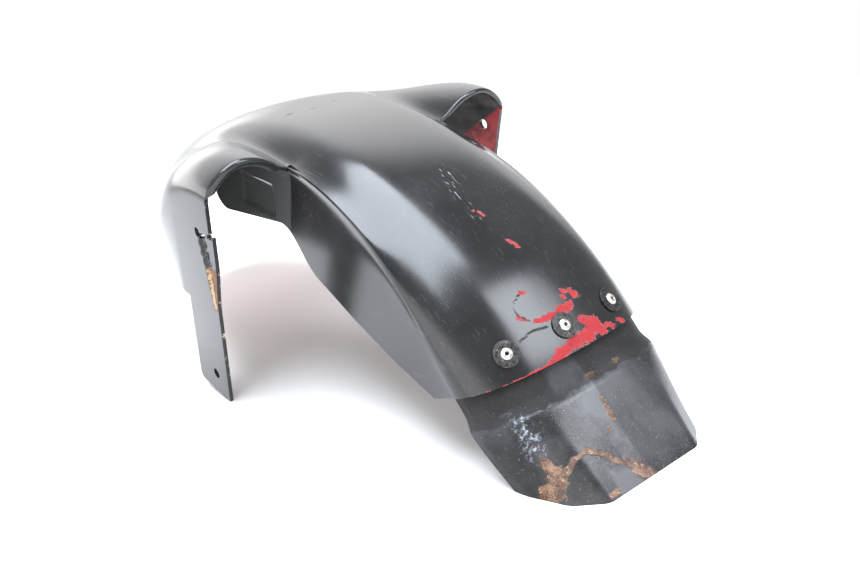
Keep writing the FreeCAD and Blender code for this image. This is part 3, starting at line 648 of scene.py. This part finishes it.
def shell_surface():
    """Outer surface of the shell: front, ear, rear, inner wall and rolled lip of both sides, joined."""
    sheet = Sheet(("thickness", "chip", "scratch", "hairline", "haze"))
    nose_angles, ear_angles, rear_angles = shell_angles()
    front_angles = np.concatenate([nose_angles, ear_angles])
    ear_start = len(nose_angles)
    hood_rows = slice(CROWN_ROWS - 1, CROWN_ROWS + HOOD_ROWS - 1)
    for side in (LEFT, RIGHT):
        front, drop_end = front_grid(front_angles, side)
        ear = ear_grid(ear_angles, side, drop_end[ear_start:])
        ear[:, 0] = front[ear_start:, -1]
        rear = rear_grid(rear_angles, side)
        rear[0, :CROWN_ROWS] = front[-1, :CROWN_ROWS]
        arch_column = rear[0, CROWN_ROWS + FILLET_ROWS - 2:]
        wall = inner_wall_grid(side, arch_column, front_angles)
        lip, lip_wall = lip_grid(front[-1, hood_rows], side)
        for grid, angles in ((front, front_angles), (rear, rear_angles)):
            across = grid[..., 1]
            arc = (np.radians(angles - ARCH_ANGLE) * CROWN_RADIUS)[:, None] + 0 * across
            chip = stroke_weight(arc, across, CHIPS)
            scratch = stroke_weight(arc, across, SCRATCHES)
            hairline = stroke_weight(arc, across, HAIRLINES)
            sheet.add(grid, side > 0, thickness=WALL, chip=chip, scratch=scratch, hairline=hairline)
        sheet.add(ear, side > 0, thickness=WALL)
        # The inner walls carry a share of painted reflection: their black paint is lifted to a lighter
        # grey
        sheet.add(wall, side < 0, thickness=WALL, haze=1.0)
        sheet.add(lip, side > 0, thickness=lip_wall)
    return sheet.merged()


def make_shell(materials):
    """Moulded shell: its outer surface with crack and bolt holes, thickened to a closed skin."""
    points, faces, values = shell_surface()
    points, faces, fibre, crack = push_cracked_strip(points, faces)
    for side in (LEFT, RIGHT):
        for level in (UPPER_HOLE_LEVEL, LOWER_HOLE_LEVEL):
            points, faces = cut_bolt_hole(points, faces, side, level)
    thickness = values.pop("thickness")
    values.update(fibre=fibre, crack=crack, bare=unpainted(points))
    closed, all_faces, face_side = thickened(points, faces, thickness)
    used, back = np.unique(all_faces, return_inverse=True)
    kept = {name: value[used] for name, value in on_both_skins(values).items()}
    return add_piece("fender_skin", closed[used], back.reshape(-1, 4), materials, face_side, kept)


# The flap's lower edge across from the middle: steps, and the Y and depth of its facets there. The
# last step goes down the side from the ridge.
FLAP_MIDDLE, RIDGE_STEP, LAST_STEP = 0.5, 8.0, 9.0
FLAP_STOPS = np.array([0.0, 4.0, 6.0, RIDGE_STEP, LAST_STEP])
FLAP_FACET_Y = np.array([0.0, 41.0, 59.0, 65.0, 65.0])
FLAP_FACET_DEPTH = np.array([0.0, 0.0, 13.0, 35.0, 44.0])
FLAP_SPREAD = (-0.3, -0.1, 0.1, 0.3)
FLAP_EDGE_FALL = 7.7


def facet_value(step, values):
    """Value across the facets, with their corners rounded by a mean over nearby steps."""
    return np.mean([np.interp(step + near, FLAP_STOPS, values) for near in FLAP_SPREAD], axis=0)


def flap_point(along, step, side):
    """Point of the flap: the inside of the crown, leaving it behind the neck and turning into facets.

    Under the shell it lies on the crown's own sections, behind it on a straight slope."""
    angle = REAR_ANGLE + np.degrees(np.minimum(along, 0) / CROWN_RADIUS)
    flare = smooth((along - FLAP_NECK) / (FLAP_FLARE - FLAP_NECK))
    inset = (WALL + SEAT_GAP) * (1 - flare)
    y = ridge_half_width(angle) * crown_share(np.minimum(step, RIDGE_STEP) / RIDGE_STEP)
    rise = rear_depth(angle, y + SLOPE_STEP) - rear_depth(angle, y - SLOPE_STEP)
    slope = rise / (2 * SLOPE_STEP)
    length = np.sqrt(1 + slope ** 2)
    curve_y = np.maximum(y - inset * slope / length, 0)
    edge_fall = FLAP_EDGE_FALL * np.maximum(step - RIDGE_STEP, 0)
    curve_depth = rear_depth(angle, y) + inset / length + edge_fall
    middle_y = FLAP_FACET_Y[1] / FLAP_STOPS[1] * step
    facet_y = np.where(step < FLAP_MIDDLE, middle_y, facet_value(step, FLAP_FACET_Y))
    facet_depth = facet_value(step, FLAP_FACET_DEPTH)
    share = smooth((along - FLAP_NECK) / (FLAP_LENGTH - FLAP_NECK))
    across = side * mix(curve_y, facet_y, share)
    depth = mix(curve_depth, facet_depth, share)
    turn = math.radians(FLAP_SLOPE)
    tilt = np.radians(mix(REAR_TILT, FLAP_SLOPE, smooth(along / FLAP_LENGTH)))
    start = crown_point(REAR_ANGLE)
    x = start[0] - math.cos(turn) * along + np.sin(tilt) * depth
    z = start[2] - math.sin(turn) * along - np.cos(tilt) * depth
    hanging = np.stack(np.broadcast_arrays(x, across, z), axis=-1)
    return np.where((along <= 0)[..., None], place(angle, across, depth), hanging)


def make_flap(materials):
    """Mud flap: a closed skin from the seat under the shell down to the floor."""
    sheet = Sheet(("stain", "along", "across"))
    steps = np.linspace(0, LAST_STEP, FLAP_COLUMNS)[None]
    for side in (LEFT, RIGHT):
        end = first_crossing(
            lambda along: flap_point(along, steps, side)[..., 2],
            np.zeros_like(steps),
            np.full_like(steps, FLAP_SEARCH * FLAP_LENGTH),
        )
        along = mix(-FLAP_OVERLAP, end, np.linspace(0, 1, FLAP_ROWS)[:, None])
        grid = flap_point(along, steps + 0 * along, side)
        across = grid[..., 1]
        stain = stroke_weight(along, across, STAINS)
        sheet.add(grid, side > 0, stain=stain, along=along, across=across)
    points, faces, values = sheet.merged()
    closed, all_faces, face_side = thickened(points, faces, FLAP_WALL)
    closed[:, 2] = np.maximum(closed[:, 2], 0)
    return add_piece("flap_sheet", closed, all_faces, materials, face_side, on_both_skins(values))


def rivet_places():
    """Point of the crown and outward direction at each rivet, from steps along and across the crown."""
    places = []
    for y in (-RIVET_SPACING, 0.0, RIVET_SPACING):
        ys = y + NEAR_STEPS
        across = place(np.array(RIVET_ANGLE), ys, rear_depth(RIVET_ANGLE, np.abs(ys)))
        angles = RIVET_ANGLE + NEAR_STEPS
        along = place(angles, np.full(3, y), rear_depth(angles, np.full(3, abs(y))))
        outward = unit(np.cross(along[2] - along[0], across[2] - across[0]))
        places.append((across[1], outward if outward[2] > 0 else -outward))
    return places


def turned_grid(profile, spot, outward):
    """Profile of radius and level, turned about the outward direction at a spot."""
    first = unit(np.cross(outward, [0.0, 1.0, 0.0]))
    second = np.cross(outward, first)
    turn = np.linspace(0, 2 * math.pi, TURN_COLUMNS)[:, None, None]
    ring = first * np.cos(turn) + second * np.sin(turn)
    radius = profile[None, :, 0, None]
    level = profile[None, :, 1, None]
    grid = spot + ring * radius + outward * level
    grid[-1] = grid[0]
    return grid


def make_turned(name, profile, lift, materials):
    """The same turned piece at each rivet place, as one mesh of closed rings."""
    sheet = Sheet(())
    for spot, outward in rivet_places():
        sheet.add(turned_grid(profile, spot + outward * lift, outward), False)
    points, faces, _ = sheet.merged()
    return add_piece(name, points, faces, materials)


def rounded_profile(corners, radius):
    """Closed loop of radius and level with each corner replaced by a short curve towards it."""
    corners = np.array(corners, dtype=float)
    before = np.roll(corners, 1, axis=0) - corners
    after = np.roll(corners, -1, axis=0) - corners
    reach_before = np.minimum(radius, np.linalg.norm(before, axis=1, keepdims=True) / CORNER_PART)
    reach_after = np.minimum(radius, np.linalg.norm(after, axis=1, keepdims=True) / CORNER_PART)
    start = corners + unit(before) * reach_before
    end = corners + unit(after) * reach_after
    t = np.linspace(0, 1, CORNER_STEPS)[None, :, None]
    loop = bend(start[:, None], corners[:, None], end[:, None], t).reshape(-1, 2)
    return np.concatenate([loop, loop[:1]])


class Shader:
    """Node tree of a material or a world, with short calls to add and join nodes."""

    def __init__(self, owner, surface, coordinate):
        owner.use_nodes = True
        self.owner = owner
        self.tree = owner.node_tree
        self.surface = self.tree.nodes[surface]
        self.place = self.add("ShaderNodeTexCoord").outputs[coordinate]

    def add(self, kind, **settings):
        """New node with some of its settings."""
        node = self.tree.nodes.new(kind)
        for key, value in settings.items():
            setattr(node, key, value)
        return node

    def join(self, value, socket):
        """A socket is linked, a plain value is set."""
        if isinstance(value, bpy.types.NodeSocket):
            self.tree.links.new(value, socket)
        else:
            socket.default_value = value

    def set(self, **values):
        """Inputs of the surface node, with low lines for the spaces in their names."""
        for key, value in values.items():
            self.join(value, self.surface.inputs[key.replace("_", " ")])

    def attribute(self, name):
        """Value held at the mesh's points."""
        return self.add("ShaderNodeAttribute", attribute_name=name).outputs["Fac"]

    def camera_ray(self):
        """One where the camera looks straight at it, nought in light and reflections."""
        return self.add("ShaderNodeLightPath").outputs["Is Camera Ray"]

    def noise(self, scale, detail=4.0, roughness=0.55, stretch=None):
        """Cloudy noise from 0 to 1, with a stretch given as scales and turns."""
        place = self.place
        if stretch is not None:
            mapping = self.add("ShaderNodeMapping")
            self.join(place, mapping.inputs["Vector"])
            mapping.inputs["Scale"].default_value = stretch[0]
            mapping.inputs["Rotation"].default_value = stretch[1]
            place = mapping.outputs["Vector"]
        node = self.add("ShaderNodeTexNoise")
        self.join(place, node.inputs["Vector"])
        node.inputs["Scale"].default_value = scale
        node.inputs["Detail"].default_value = detail
        node.inputs["Roughness"].default_value = roughness
        return node.outputs["Fac"]

    def math(self, operation, first, second):
        """Sum of two values or another of the node's operations."""
        node = self.add("ShaderNodeMath", operation=operation)
        self.join(first, node.inputs[0])
        self.join(second, node.inputs[1])
        return node.outputs[0]

    def plus(self, first, second):
        return self.math("ADD", first, second)

    def minus(self, first, second):
        return self.math("SUBTRACT", first, second)

    def times(self, first, second):
        return self.math("MULTIPLY", first, second)

    def larger(self, first, second):
        return self.math("MAXIMUM", first, second)

    def jitter(self, noise, amount):
        """Noise moved to both sides of nought, times an amount."""
        return self.times(self.minus(noise, 0.5), amount)

    def vector_math(self, operation, aim=None):
        """Length of the place vector, or its product with an aim."""
        node = self.add("ShaderNodeVectorMath", operation=operation)
        self.join(self.place, node.inputs[0])
        if aim is not None:
            node.inputs[1].default_value = aim
        return node.outputs["Value"]

    def band(self, value, low, high, start=0.0, end=1.0):
        """Value carried smoothly from a start at the low bound to an end at the high bound."""
        node = self.add("ShaderNodeMapRange", interpolation_type="SMOOTHSTEP")
        self.join(value, node.inputs["Value"])
        node.inputs["From Min"].default_value = low
        node.inputs["From Max"].default_value = high
        node.inputs["To Min"].default_value = start
        node.inputs["To Max"].default_value = end
        return node.outputs["Result"]

    def blend(self, share, first, second):
        """Colour between two colours."""
        node = self.add("ShaderNodeMix", data_type="RGBA")
        self.join(share, node.inputs[0])
        self.join(first, node.inputs[6])
        self.join(second, node.inputs[7])
        return node.outputs[2]

    def bump(self, height, strength, distance):
        """Relief of the surface, with its distance in metres."""
        node = self.add("ShaderNodeBump")
        node.inputs["Strength"].default_value = strength
        node.inputs["Distance"].default_value = distance
        self.join(height, node.inputs["Height"])
        self.join(node.outputs["Normal"], self.surface.inputs["Normal"])


def new_finish(name):
    """Shader of a new material, with patterns on Object coordinates."""
    return Shader(bpy.data.materials.new(name), "Principled BSDF", "Object")


# Colours of the finishes, where a pair is the dark and the light end of a mottled colour
BLACK_PAINT = (0.008, 0.008, 0.009, 1)
WORN_PAINT = (0.014, 0.014, 0.015, 1)
PAINT_DUST = (0.22, 0.21, 0.20, 1)
# Lighter grey of the inner walls: a painted reflection of the lit floor
PAINTED_REFLECTION_GREY = (0.090, 0.094, 0.092, 1)
SWIRL_GREY = (0.5, 0.5, 0.5, 1)
SCRATCH_WHITE = (0.62, 0.60, 0.60, 1)
CHIP_BORDER = (0.30, 0.02, 0.03, 1), (0.62, 0.20, 0.18, 1)
BARE_RED = (0.17, 0.002, 0.004, 1), (0.34, 0.006, 0.012, 1)
RED_GRIME = (0.045, 0.004, 0.005, 1)
FIBRE_TAN = (0.070, 0.028, 0.015, 1), (0.19, 0.085, 0.048, 1)
FIBRE_STRAW = (0.24, 0.15, 0.07, 1), (0.46, 0.35, 0.20, 1)
SPLIT_BLACK = (0.002, 0.002, 0.002, 1)
INSIDE_RED = (0.50, 0.012, 0.020, 1)
OVERSPRAY = (0.014, 0.011, 0.011, 1)
DRIED_DIRT = (0.17, 0.13, 0.10, 1)
KNOCKED_EDGE = (0.32, 0.20, 0.12, 1), (0.72, 0.58, 0.42, 1)
# Flap: black, and a lighter bluish grey that is partly road dust and partly painted sheen
FLAP_DUST_AND_SHEEN = (0.012, 0.012, 0.013, 1), (0.075, 0.074, 0.080, 1)
FLAP_GRIT = (0.34, 0.32, 0.31, 1)
# Pale bluish specks along the flap's left crease: a painted highlight
CREASE_HIGHLIGHT_BLUE = (0.46, 0.51, 0.60, 1)
RUST = (0.060, 0.022, 0.012, 1), (0.21, 0.120, 0.072, 1)
RUST_GRIT = (0.42, 0.33, 0.25, 1)
NECK_BLACK = (0.014, 0.013, 0.013, 1)
METAL_DIRT = (0.42, 0.32, 0.22, 1)
WASHER_GREYS = (0.020, 0.020, 0.021, 1), (0.075, 0.074, 0.072, 1)
RIVET_GREYS = (0.36, 0.34, 0.31, 1), (0.66, 0.64, 0.58, 1)
FLOOR_WHITES = (0.86, 0.85, 0.845, 1), (0.88, 0.87, 0.865, 1)


def paint_material():
    """Black gloss paint with fine scratches and dust, chips to red plastic, bare fibre and a painted
    reflection that lifts the inner walls to grey.

    Each kind of wear is a point value made ragged by noise, and covers the colour before it."""
    shader = new_finish("black_gloss_paint")
    grain = shader.noise(900.0, 2.0)
    cloud = shader.noise(14.0, 5.0)
    ragged = shader.noise(340.0, 8.0, 0.75)
    fine = shader.noise(1400.0, 3.0, 0.7)
    grime = shader.noise(420.0, 5.0, 0.7)
    lines = shader.noise(1000.0, 2.0, 0.5, ((0.05, 1.0, 0.3), (0.0, 0.0, 0.9)))
    swirls = shader.noise(900.0, 1.0, 0.5, ((0.04, 1.0, 0.2), (0.0, 0.3, -0.7)))
    weave = shader.noise(520.0, 4.0, 0.7, ((1.0, 1.0, 0.25), (0.0, 0.3, 0.0)))

    chip = shader.attribute("chip")
    chip = shader.times(shader.plus(chip, shader.jitter(ragged, 2.3)), shader.band(chip, 0.0, 0.12))
    border = shader.band(chip, 0.27, 0.31)
    red = shader.band(chip, 0.30, 0.36)
    fibre_value = shader.attribute("fibre")
    pale_fibre = shader.band(fibre_value, 0.72, 0.92)
    fibre = shader.band(shader.plus(fibre_value, shader.jitter(ragged, 0.7)), 0.34, 0.42)
    scratch = shader.times(shader.band(lines, 0.62, 0.68), shader.attribute("scratch"))
    swirl = shader.band(swirls, 0.66, 0.72)
    dust = shader.times(shader.band(grain, 0.62, 0.74), shader.band(cloud, 0.45, 0.75))
    hairline = shader.band(shader.attribute("hairline"), 0.62, 0.86)
    split = shader.larger(shader.attribute("crack"), hairline)

    bare = shader.blend(shader.band(fine, 0.3, 0.7), *BARE_RED)
    bare = shader.blend(shader.band(grime, 0.60, 0.66), bare, RED_GRIME)
    tan = shader.blend(shader.band(weave, 0.36, 0.66), *FIBRE_TAN)
    tan = shader.blend(pale_fibre, tan, shader.blend(fine, *FIBRE_STRAW))
    colour = shader.blend(shader.band(cloud, 0.3, 0.7), BLACK_PAINT, WORN_PAINT)
    colour = shader.blend(shader.times(dust, 0.16), colour, PAINT_DUST)
    # Painted reflection: the inner walls are lifted towards a lighter grey
    colour = shader.blend(shader.times(shader.attribute("haze"), 0.8), colour, PAINTED_REFLECTION_GREY)
    colour = shader.blend(shader.times(swirl, 0.03), colour, SWIRL_GREY)
    colour = shader.blend(shader.times(scratch, 0.45), colour, SCRATCH_WHITE)
    colour = shader.blend(border, colour, shader.blend(fine, *CHIP_BORDER))
    colour = shader.blend(red, colour, bare)
    colour = shader.blend(fibre, colour, tan)
    colour = shader.blend(split, colour, SPLIT_BLACK)

    worn = shader.larger(shader.larger(shader.larger(border, fibre), scratch), split)
    rough = shader.plus(shader.band(cloud, 0.3, 0.75, 0.15, 0.23), shader.times(dust, 0.3))
    rough = shader.plus(rough, shader.times(worn, 0.5))
    shader.set(Base_Color=colour, Roughness=rough, IOR=1.5)
    relief = shader.times(border, -1.0)
    relief = shader.minus(relief, shader.times(fibre, shader.plus(weave, 0.5)))
    wave = shader.times(shader.noise(70.0, 2.0), 0.10)
    shader.bump(shader.plus(relief, wave), 0.5, 0.0004)
    return shader.owner


def inside_material():
    """Inside of the shell: black overspray and dried dirt, on red plastic where it is left bare."""
    shader = new_finish("red_plastic_inside")
    spray = shader.band(shader.noise(70.0, 6.0, 0.6), 0.40, 0.62)
    speck = shader.band(shader.noise(700.0, 3.0, 0.7), 0.55, 0.7)
    dirt = shader.band(shader.noise(45.0, 6.0, 0.65), 0.55, 0.75)
    painted = shader.minus(1.0, shader.attribute("bare"))
    cover = shader.larger(painted, shader.times(spray, 0.8))
    cover = shader.larger(cover, shader.times(speck, 0.5))
    colour = shader.blend(cover, INSIDE_RED, OVERSPRAY)
    colour = shader.blend(shader.times(dirt, 0.35), colour, DRIED_DIRT)
    shader.set(Base_Color=colour, Roughness=shader.band(spray, 0.0, 1.0, 0.42, 0.6))
    shader.bump(shader.noise(500.0, 4.0), 0.3, 0.0004)
    return shader.owner


def rim_material():
    """Cut edge of the shell: black paint, with pale chips where it is knocked off."""
    shader = new_finish("shell_edge")
    knock = shader.band(shader.noise(140.0, 6.0, 0.7), 0.60, 0.64)
    pale = shader.blend(shader.noise(800.0, 3.0), *KNOCKED_EDGE)
    shader.set(Base_Color=shader.blend(knock, BLACK_PAINT, pale))
    shader.set(Roughness=shader.band(knock, 0.0, 1.0, 0.25, 0.75))
    shader.bump(knock, 0.4, 0.0003)
    return shader.owner


def flap_material():
    """Satin black flap with grey road dust, a lighter middle that is partly worn and partly painted
    sheen, and tan and rusty stains.

    A crease on the left side has pale bluish specks, a painted highlight, and the neck behind the shell
    is covered by a torn matte strip."""
    shader = new_finish("dusty_black_plastic")
    cloud = shader.noise(22.0, 6.0, 0.6)
    grit = shader.noise(650.0, 3.0, 0.7)
    blot = shader.noise(120.0, 6.0, 0.65)
    torn = shader.noise(60.0, 6.0, 0.6)
    along = shader.attribute("along")
    across = shader.attribute("across")

    stain = shader.attribute("stain")
    stain = shader.times(shader.plus(stain, shader.jitter(blot, 2.2)), shader.band(stain, 0.0, 0.2))
    stain = shader.band(stain, 0.28, 0.62)
    edge = shader.plus(across, shader.jitter(blot, 6.0))
    # The middle facets are lighter: partly wear and dust, partly painted sheen
    middle = shader.times(shader.band(edge, 2.0, 5.0), shader.band(edge, 32.0, 28.0))
    # Painted highlight along the flap's left crease, broken into specks
    crease_highlight = shader.times(shader.band(across, 53.0, 59.0), shader.band(across, 67.0, 63.0))
    crease_highlight = shader.times(crease_highlight, shader.band(along, 54.0, 40.0))
    crease_highlight = shader.times(crease_highlight, shader.band(along, 15.0, 21.0))
    specks = shader.times(shader.band(shader.noise(260.0, 6.0, 0.75), 0.50, 0.62), crease_highlight)
    neck = shader.band(shader.plus(along, shader.jitter(torn, 14.0)), 23.0, 21.0)
    # This dust share also carries the painted sheen, stronger over the middle
    dust = shader.plus(shader.times(middle, 1.3), 0.45)
    dust = shader.times(shader.band(cloud, 0.40, 0.70), dust)
    thin = shader.band(shader.noise(230.0, 5.0, 0.7), 0.30, 0.56, 0.25, 0.95)

    rust = shader.blend(shader.band(shader.noise(150.0, 6.0, 0.7), 0.36, 0.64), *RUST)
    rust = shader.blend(shader.band(grit, 0.56, 0.70), rust, RUST_GRIT)
    colour = shader.blend(dust, *FLAP_DUST_AND_SHEEN)
    colour = shader.blend(shader.times(shader.band(grit, 0.60, 0.72), 0.30), colour, FLAP_GRIT)
    # The specks are the painted highlight of the left crease
    colour = shader.blend(shader.times(specks, 0.55), colour, CREASE_HIGHLIGHT_BLUE)
    colour = shader.blend(shader.times(stain, thin), colour, rust)
    colour = shader.blend(shader.times(neck, 0.6), colour, NECK_BLACK)

    matte = shader.larger(neck, shader.times(shader.band(edge, 58.0, 66.0), 0.9))
    rough = shader.plus(shader.band(cloud, 0.3, 0.7, 0.22, 0.36), shader.times(stain, 0.3))
    rough = shader.plus(rough, shader.times(matte, 0.30))
    shader.set(Base_Color=colour, Roughness=rough)
    shader.set(Specular_IOR_Level=shader.minus(0.5, shader.times(matte, 0.36)))
    relief = shader.plus(shader.times(grit, 0.35), shader.times(blot, 0.5))
    shader.bump(shader.plus(relief, stain), 0.35, 0.0005)
    return shader.owner


def metal_material(name, greys, speck_share, roughness):
    """Worn metal: two greys in clouds, tan dirt specks and fine scratches."""
    shader = new_finish(name)
    cloud = shader.noise(420.0, 5.0, 0.6)
    speck = shader.band(shader.noise(900.0, 3.0, 0.7), 0.60, 0.68)
    colour = shader.blend(shader.band(cloud, 0.35, 0.65), *greys)
    colour = shader.blend(shader.times(speck, speck_share), colour, METAL_DIRT)
    rough = shader.band(cloud, 0.3, 0.7, roughness, roughness + 0.2)
    shader.set(Base_Color=colour, Roughness=rough)
    shader.set(Metallic=shader.minus(0.95, shader.times(speck, 0.8)))
    shader.bump(shader.noise(1500.0, 3.0), 0.2, 0.0001)
    return shader.owner


def washer_profile():
    """Half section of a washer, as radius and level."""
    return rounded_profile(
        [
            (WASHER_BORE, 0.0),
            (WASHER_RADIUS, 0.0),
            (WASHER_RADIUS, WASHER_HEIGHT),
            (WASHER_BORE, WASHER_HEIGHT),
        ],
        WASHER_ROUNDING,
    )


def rivet_profile():
    """Half section of a hollow rivet, as radius and level: its shank, then its domed head."""
    return rounded_profile(
        [
            (RIVET_BORE, -RIVET_TAIL),
            (RIVET_SHANK, -RIVET_TAIL),
            (RIVET_SHANK, 0.0),
            (HEAD_RADIUS, 0.0),
            (HEAD_RADIUS, HEAD_EDGE),
            (HEAD_CURVE, HEAD_CURVE_LEVEL),
            (HEAD_MOUTH, HEAD_HEIGHT),
            (RIVET_BORE, HEAD_CURVE_LEVEL),
        ],
        RIVET_ROUNDING,
    )


def make_object():
    """The pieces of the part, each in place of its built node."""
    shell_finish = [paint_material(), inside_material(), rim_material()]
    flap_finish = [flap_material()]
    washer_finish = [metal_material("worn_washer", WASHER_GREYS, 0.7, 0.36)]
    rivet_finish = [metal_material("rivet_aluminium", RIVET_GREYS, 0.25, 0.34)]
    shell = make_shell(shell_finish)
    flap = make_flap(flap_finish)
    washers = make_turned("washer_rings", washer_profile(), WASHER_LIFT, washer_finish)
    rivets = make_turned("rivet_heads", rivet_profile(), RIVET_LIFT, rivet_finish)
    made = [
        (shell, "fender_shell", "shell_paint"),
        (flap, "mud_flap", "flap_plastic"),
        (washers, "rivet_washers", "washer_metal"),
        (rivets, "blind_rivets", "rivet_metal"),
    ]
    for piece, node, slot in made:
        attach(piece, "root")
        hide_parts(node)


# Stage in metres. Softboxes: name, spot, aim, width, length, power and colour. World walls: the way
# towards each, how far it spreads by the cosine, its bounds of height, and its strength at both.
FLOOR_REACH, FLOOR_FADE_START, FLOOR_FADE_END = 6.0, 0.40, 0.85
SOFTBOXES = [
    ("softbox_over", (-0.08, 0.12, 1.35), (-0.05, 0.08, 0.1), 1.05, 1.15, 52.0, (0.84, 0.91, 1.0)),
    ("softbox_side", (-1.25, -0.80, 1.35), (0.0, 0.0, 0.1), 0.75, 0.75, 20.0, (0.88, 0.93, 1.0)),
]
WORLD_WALLS = [
    ((0.94, -0.34, 0.0), (0.38, 0.72), (-0.2, 0.7), (0.9, 3.3)),
    ((-0.47, 0.88, 0.0), (0.30, 0.70), (0.62, 0.36), (0.5, 3.2)),
    ((0.94, 0.34, 0.0), (0.55, 0.85), (0.50, 0.20), (0.0, 4.5)),
]
WORLD_LEAST, WORLD_SHOWN = 0.5, 1.0
CAMERA_LENS, CAMERA_SENSOR = 48.43, 36.0
CAMERA_SPOT = (-0.70975, 0.450, 0.422)
CAMERA_RIGHT = (-0.6192, -0.7721, -0.1430)
CAMERA_UP = (0.2376, -0.3578, 0.9031)
CAMERA_BACK = (-0.7485, 0.5252, 0.4050)
SOFTBOX_SIDEWAYS = (0.0, 1.0, 0.001)


def add_to_stage(name, data, right, up, back, spot):
    """Lamp or camera at a spot, turned by its right, up and back directions."""
    item = bpy.data.objects.new(name, data)
    rows = [[right[i], up[i], back[i], spot[i]] for i in range(3)]
    item.matrix_world = Matrix(rows + [[0, 0, 0, 1]])
    bpy.context.scene.collection.objects.link(item)
    return item


def add_softbox(name, spot, aim, width, length, power, colour):
    """Area light at a spot, facing an aim."""
    light = bpy.data.lights.new(name, "AREA")
    light.shape = "RECTANGLE"
    light.size = width
    light.size_y = length
    light.energy = power
    light.color = colour
    back = unit(np.array(spot) - np.array(aim))
    right = unit(np.cross(SOFTBOX_SIDEWAYS, back))
    add_to_stage(name, light, right, np.cross(back, right), back, spot)


def add_floor():
    """White floor that keeps the shadow near the part and is plain white for the camera further off."""
    shader = new_finish("white_floor")
    colour = shader.blend(shader.noise(3.0, 2.0), *FLOOR_WHITES)
    shader.set(Base_Color=colour, Roughness=0.9, Specular_IOR_Level=0.0)
    far = shader.band(shader.vector_math("LENGTH"), FLOOR_FADE_START, FLOOR_FADE_END)
    mixed = shader.add("ShaderNodeMixShader")
    shader.join(shader.times(far, shader.camera_ray()), mixed.inputs[0])
    shader.join(shader.surface.outputs[0], mixed.inputs[1])
    shader.join(shader.add("ShaderNodeEmission").outputs[0], mixed.inputs[2])
    shader.join(mixed.outputs[0], shader.tree.nodes["Material Output"].inputs["Surface"])
    reach = FLOOR_REACH / MILLI
    corners = [[-reach, -reach, 0], [reach, -reach, 0], [reach, reach, 0], [-reach, reach, 0]]
    floor = add_piece("floor", np.array(corners), np.array([[0, 1, 2, 3]]), [shader.owner])


def add_world():
    """Dim studio with pale walls that the paint reflects, white where the camera sees it."""
    sky = Shader(bpy.data.worlds.new("studio"), "Background", "Generated")
    height = sky.vector_math("DOT_PRODUCT", (0.0, 0.0, 1.0))
    glow = WORLD_LEAST
    for aim, spread, bounds, strengths in WORLD_WALLS:
        near = sky.band(sky.vector_math("DOT_PRODUCT", aim), *spread)
        glow = sky.larger(sky.times(near, sky.band(height, *bounds, *strengths)), glow)
    shown = sky.add("ShaderNodeMix", data_type="FLOAT")
    sky.join(sky.camera_ray(), shown.inputs[0])
    sky.join(glow, shown.inputs[2])
    sky.join(WORLD_SHOWN, shown.inputs[3])
    sky.set(Color=shown.outputs[0])
    bpy.context.scene.world = sky.owner


def add_camera():
    """Camera of the photo, fitted to its outlines."""
    camera = bpy.data.cameras.new("camera")
    camera.lens = CAMERA_LENS
    camera.sensor_width = CAMERA_SENSOR
    camera.sensor_fit = "HORIZONTAL"
    eye = add_to_stage("camera", camera, CAMERA_RIGHT, CAMERA_UP, CAMERA_BACK, CAMERA_SPOT)
    bpy.context.scene.camera = eye


def make_stage():
    """Floor, world, softboxes and camera."""
    add_floor()
    add_world()
    for softbox in SOFTBOXES:
        add_softbox(*softbox)
    add_camera()
    bpy.context.scene.view_settings.view_transform = "Standard"


make_object()
make_stage()
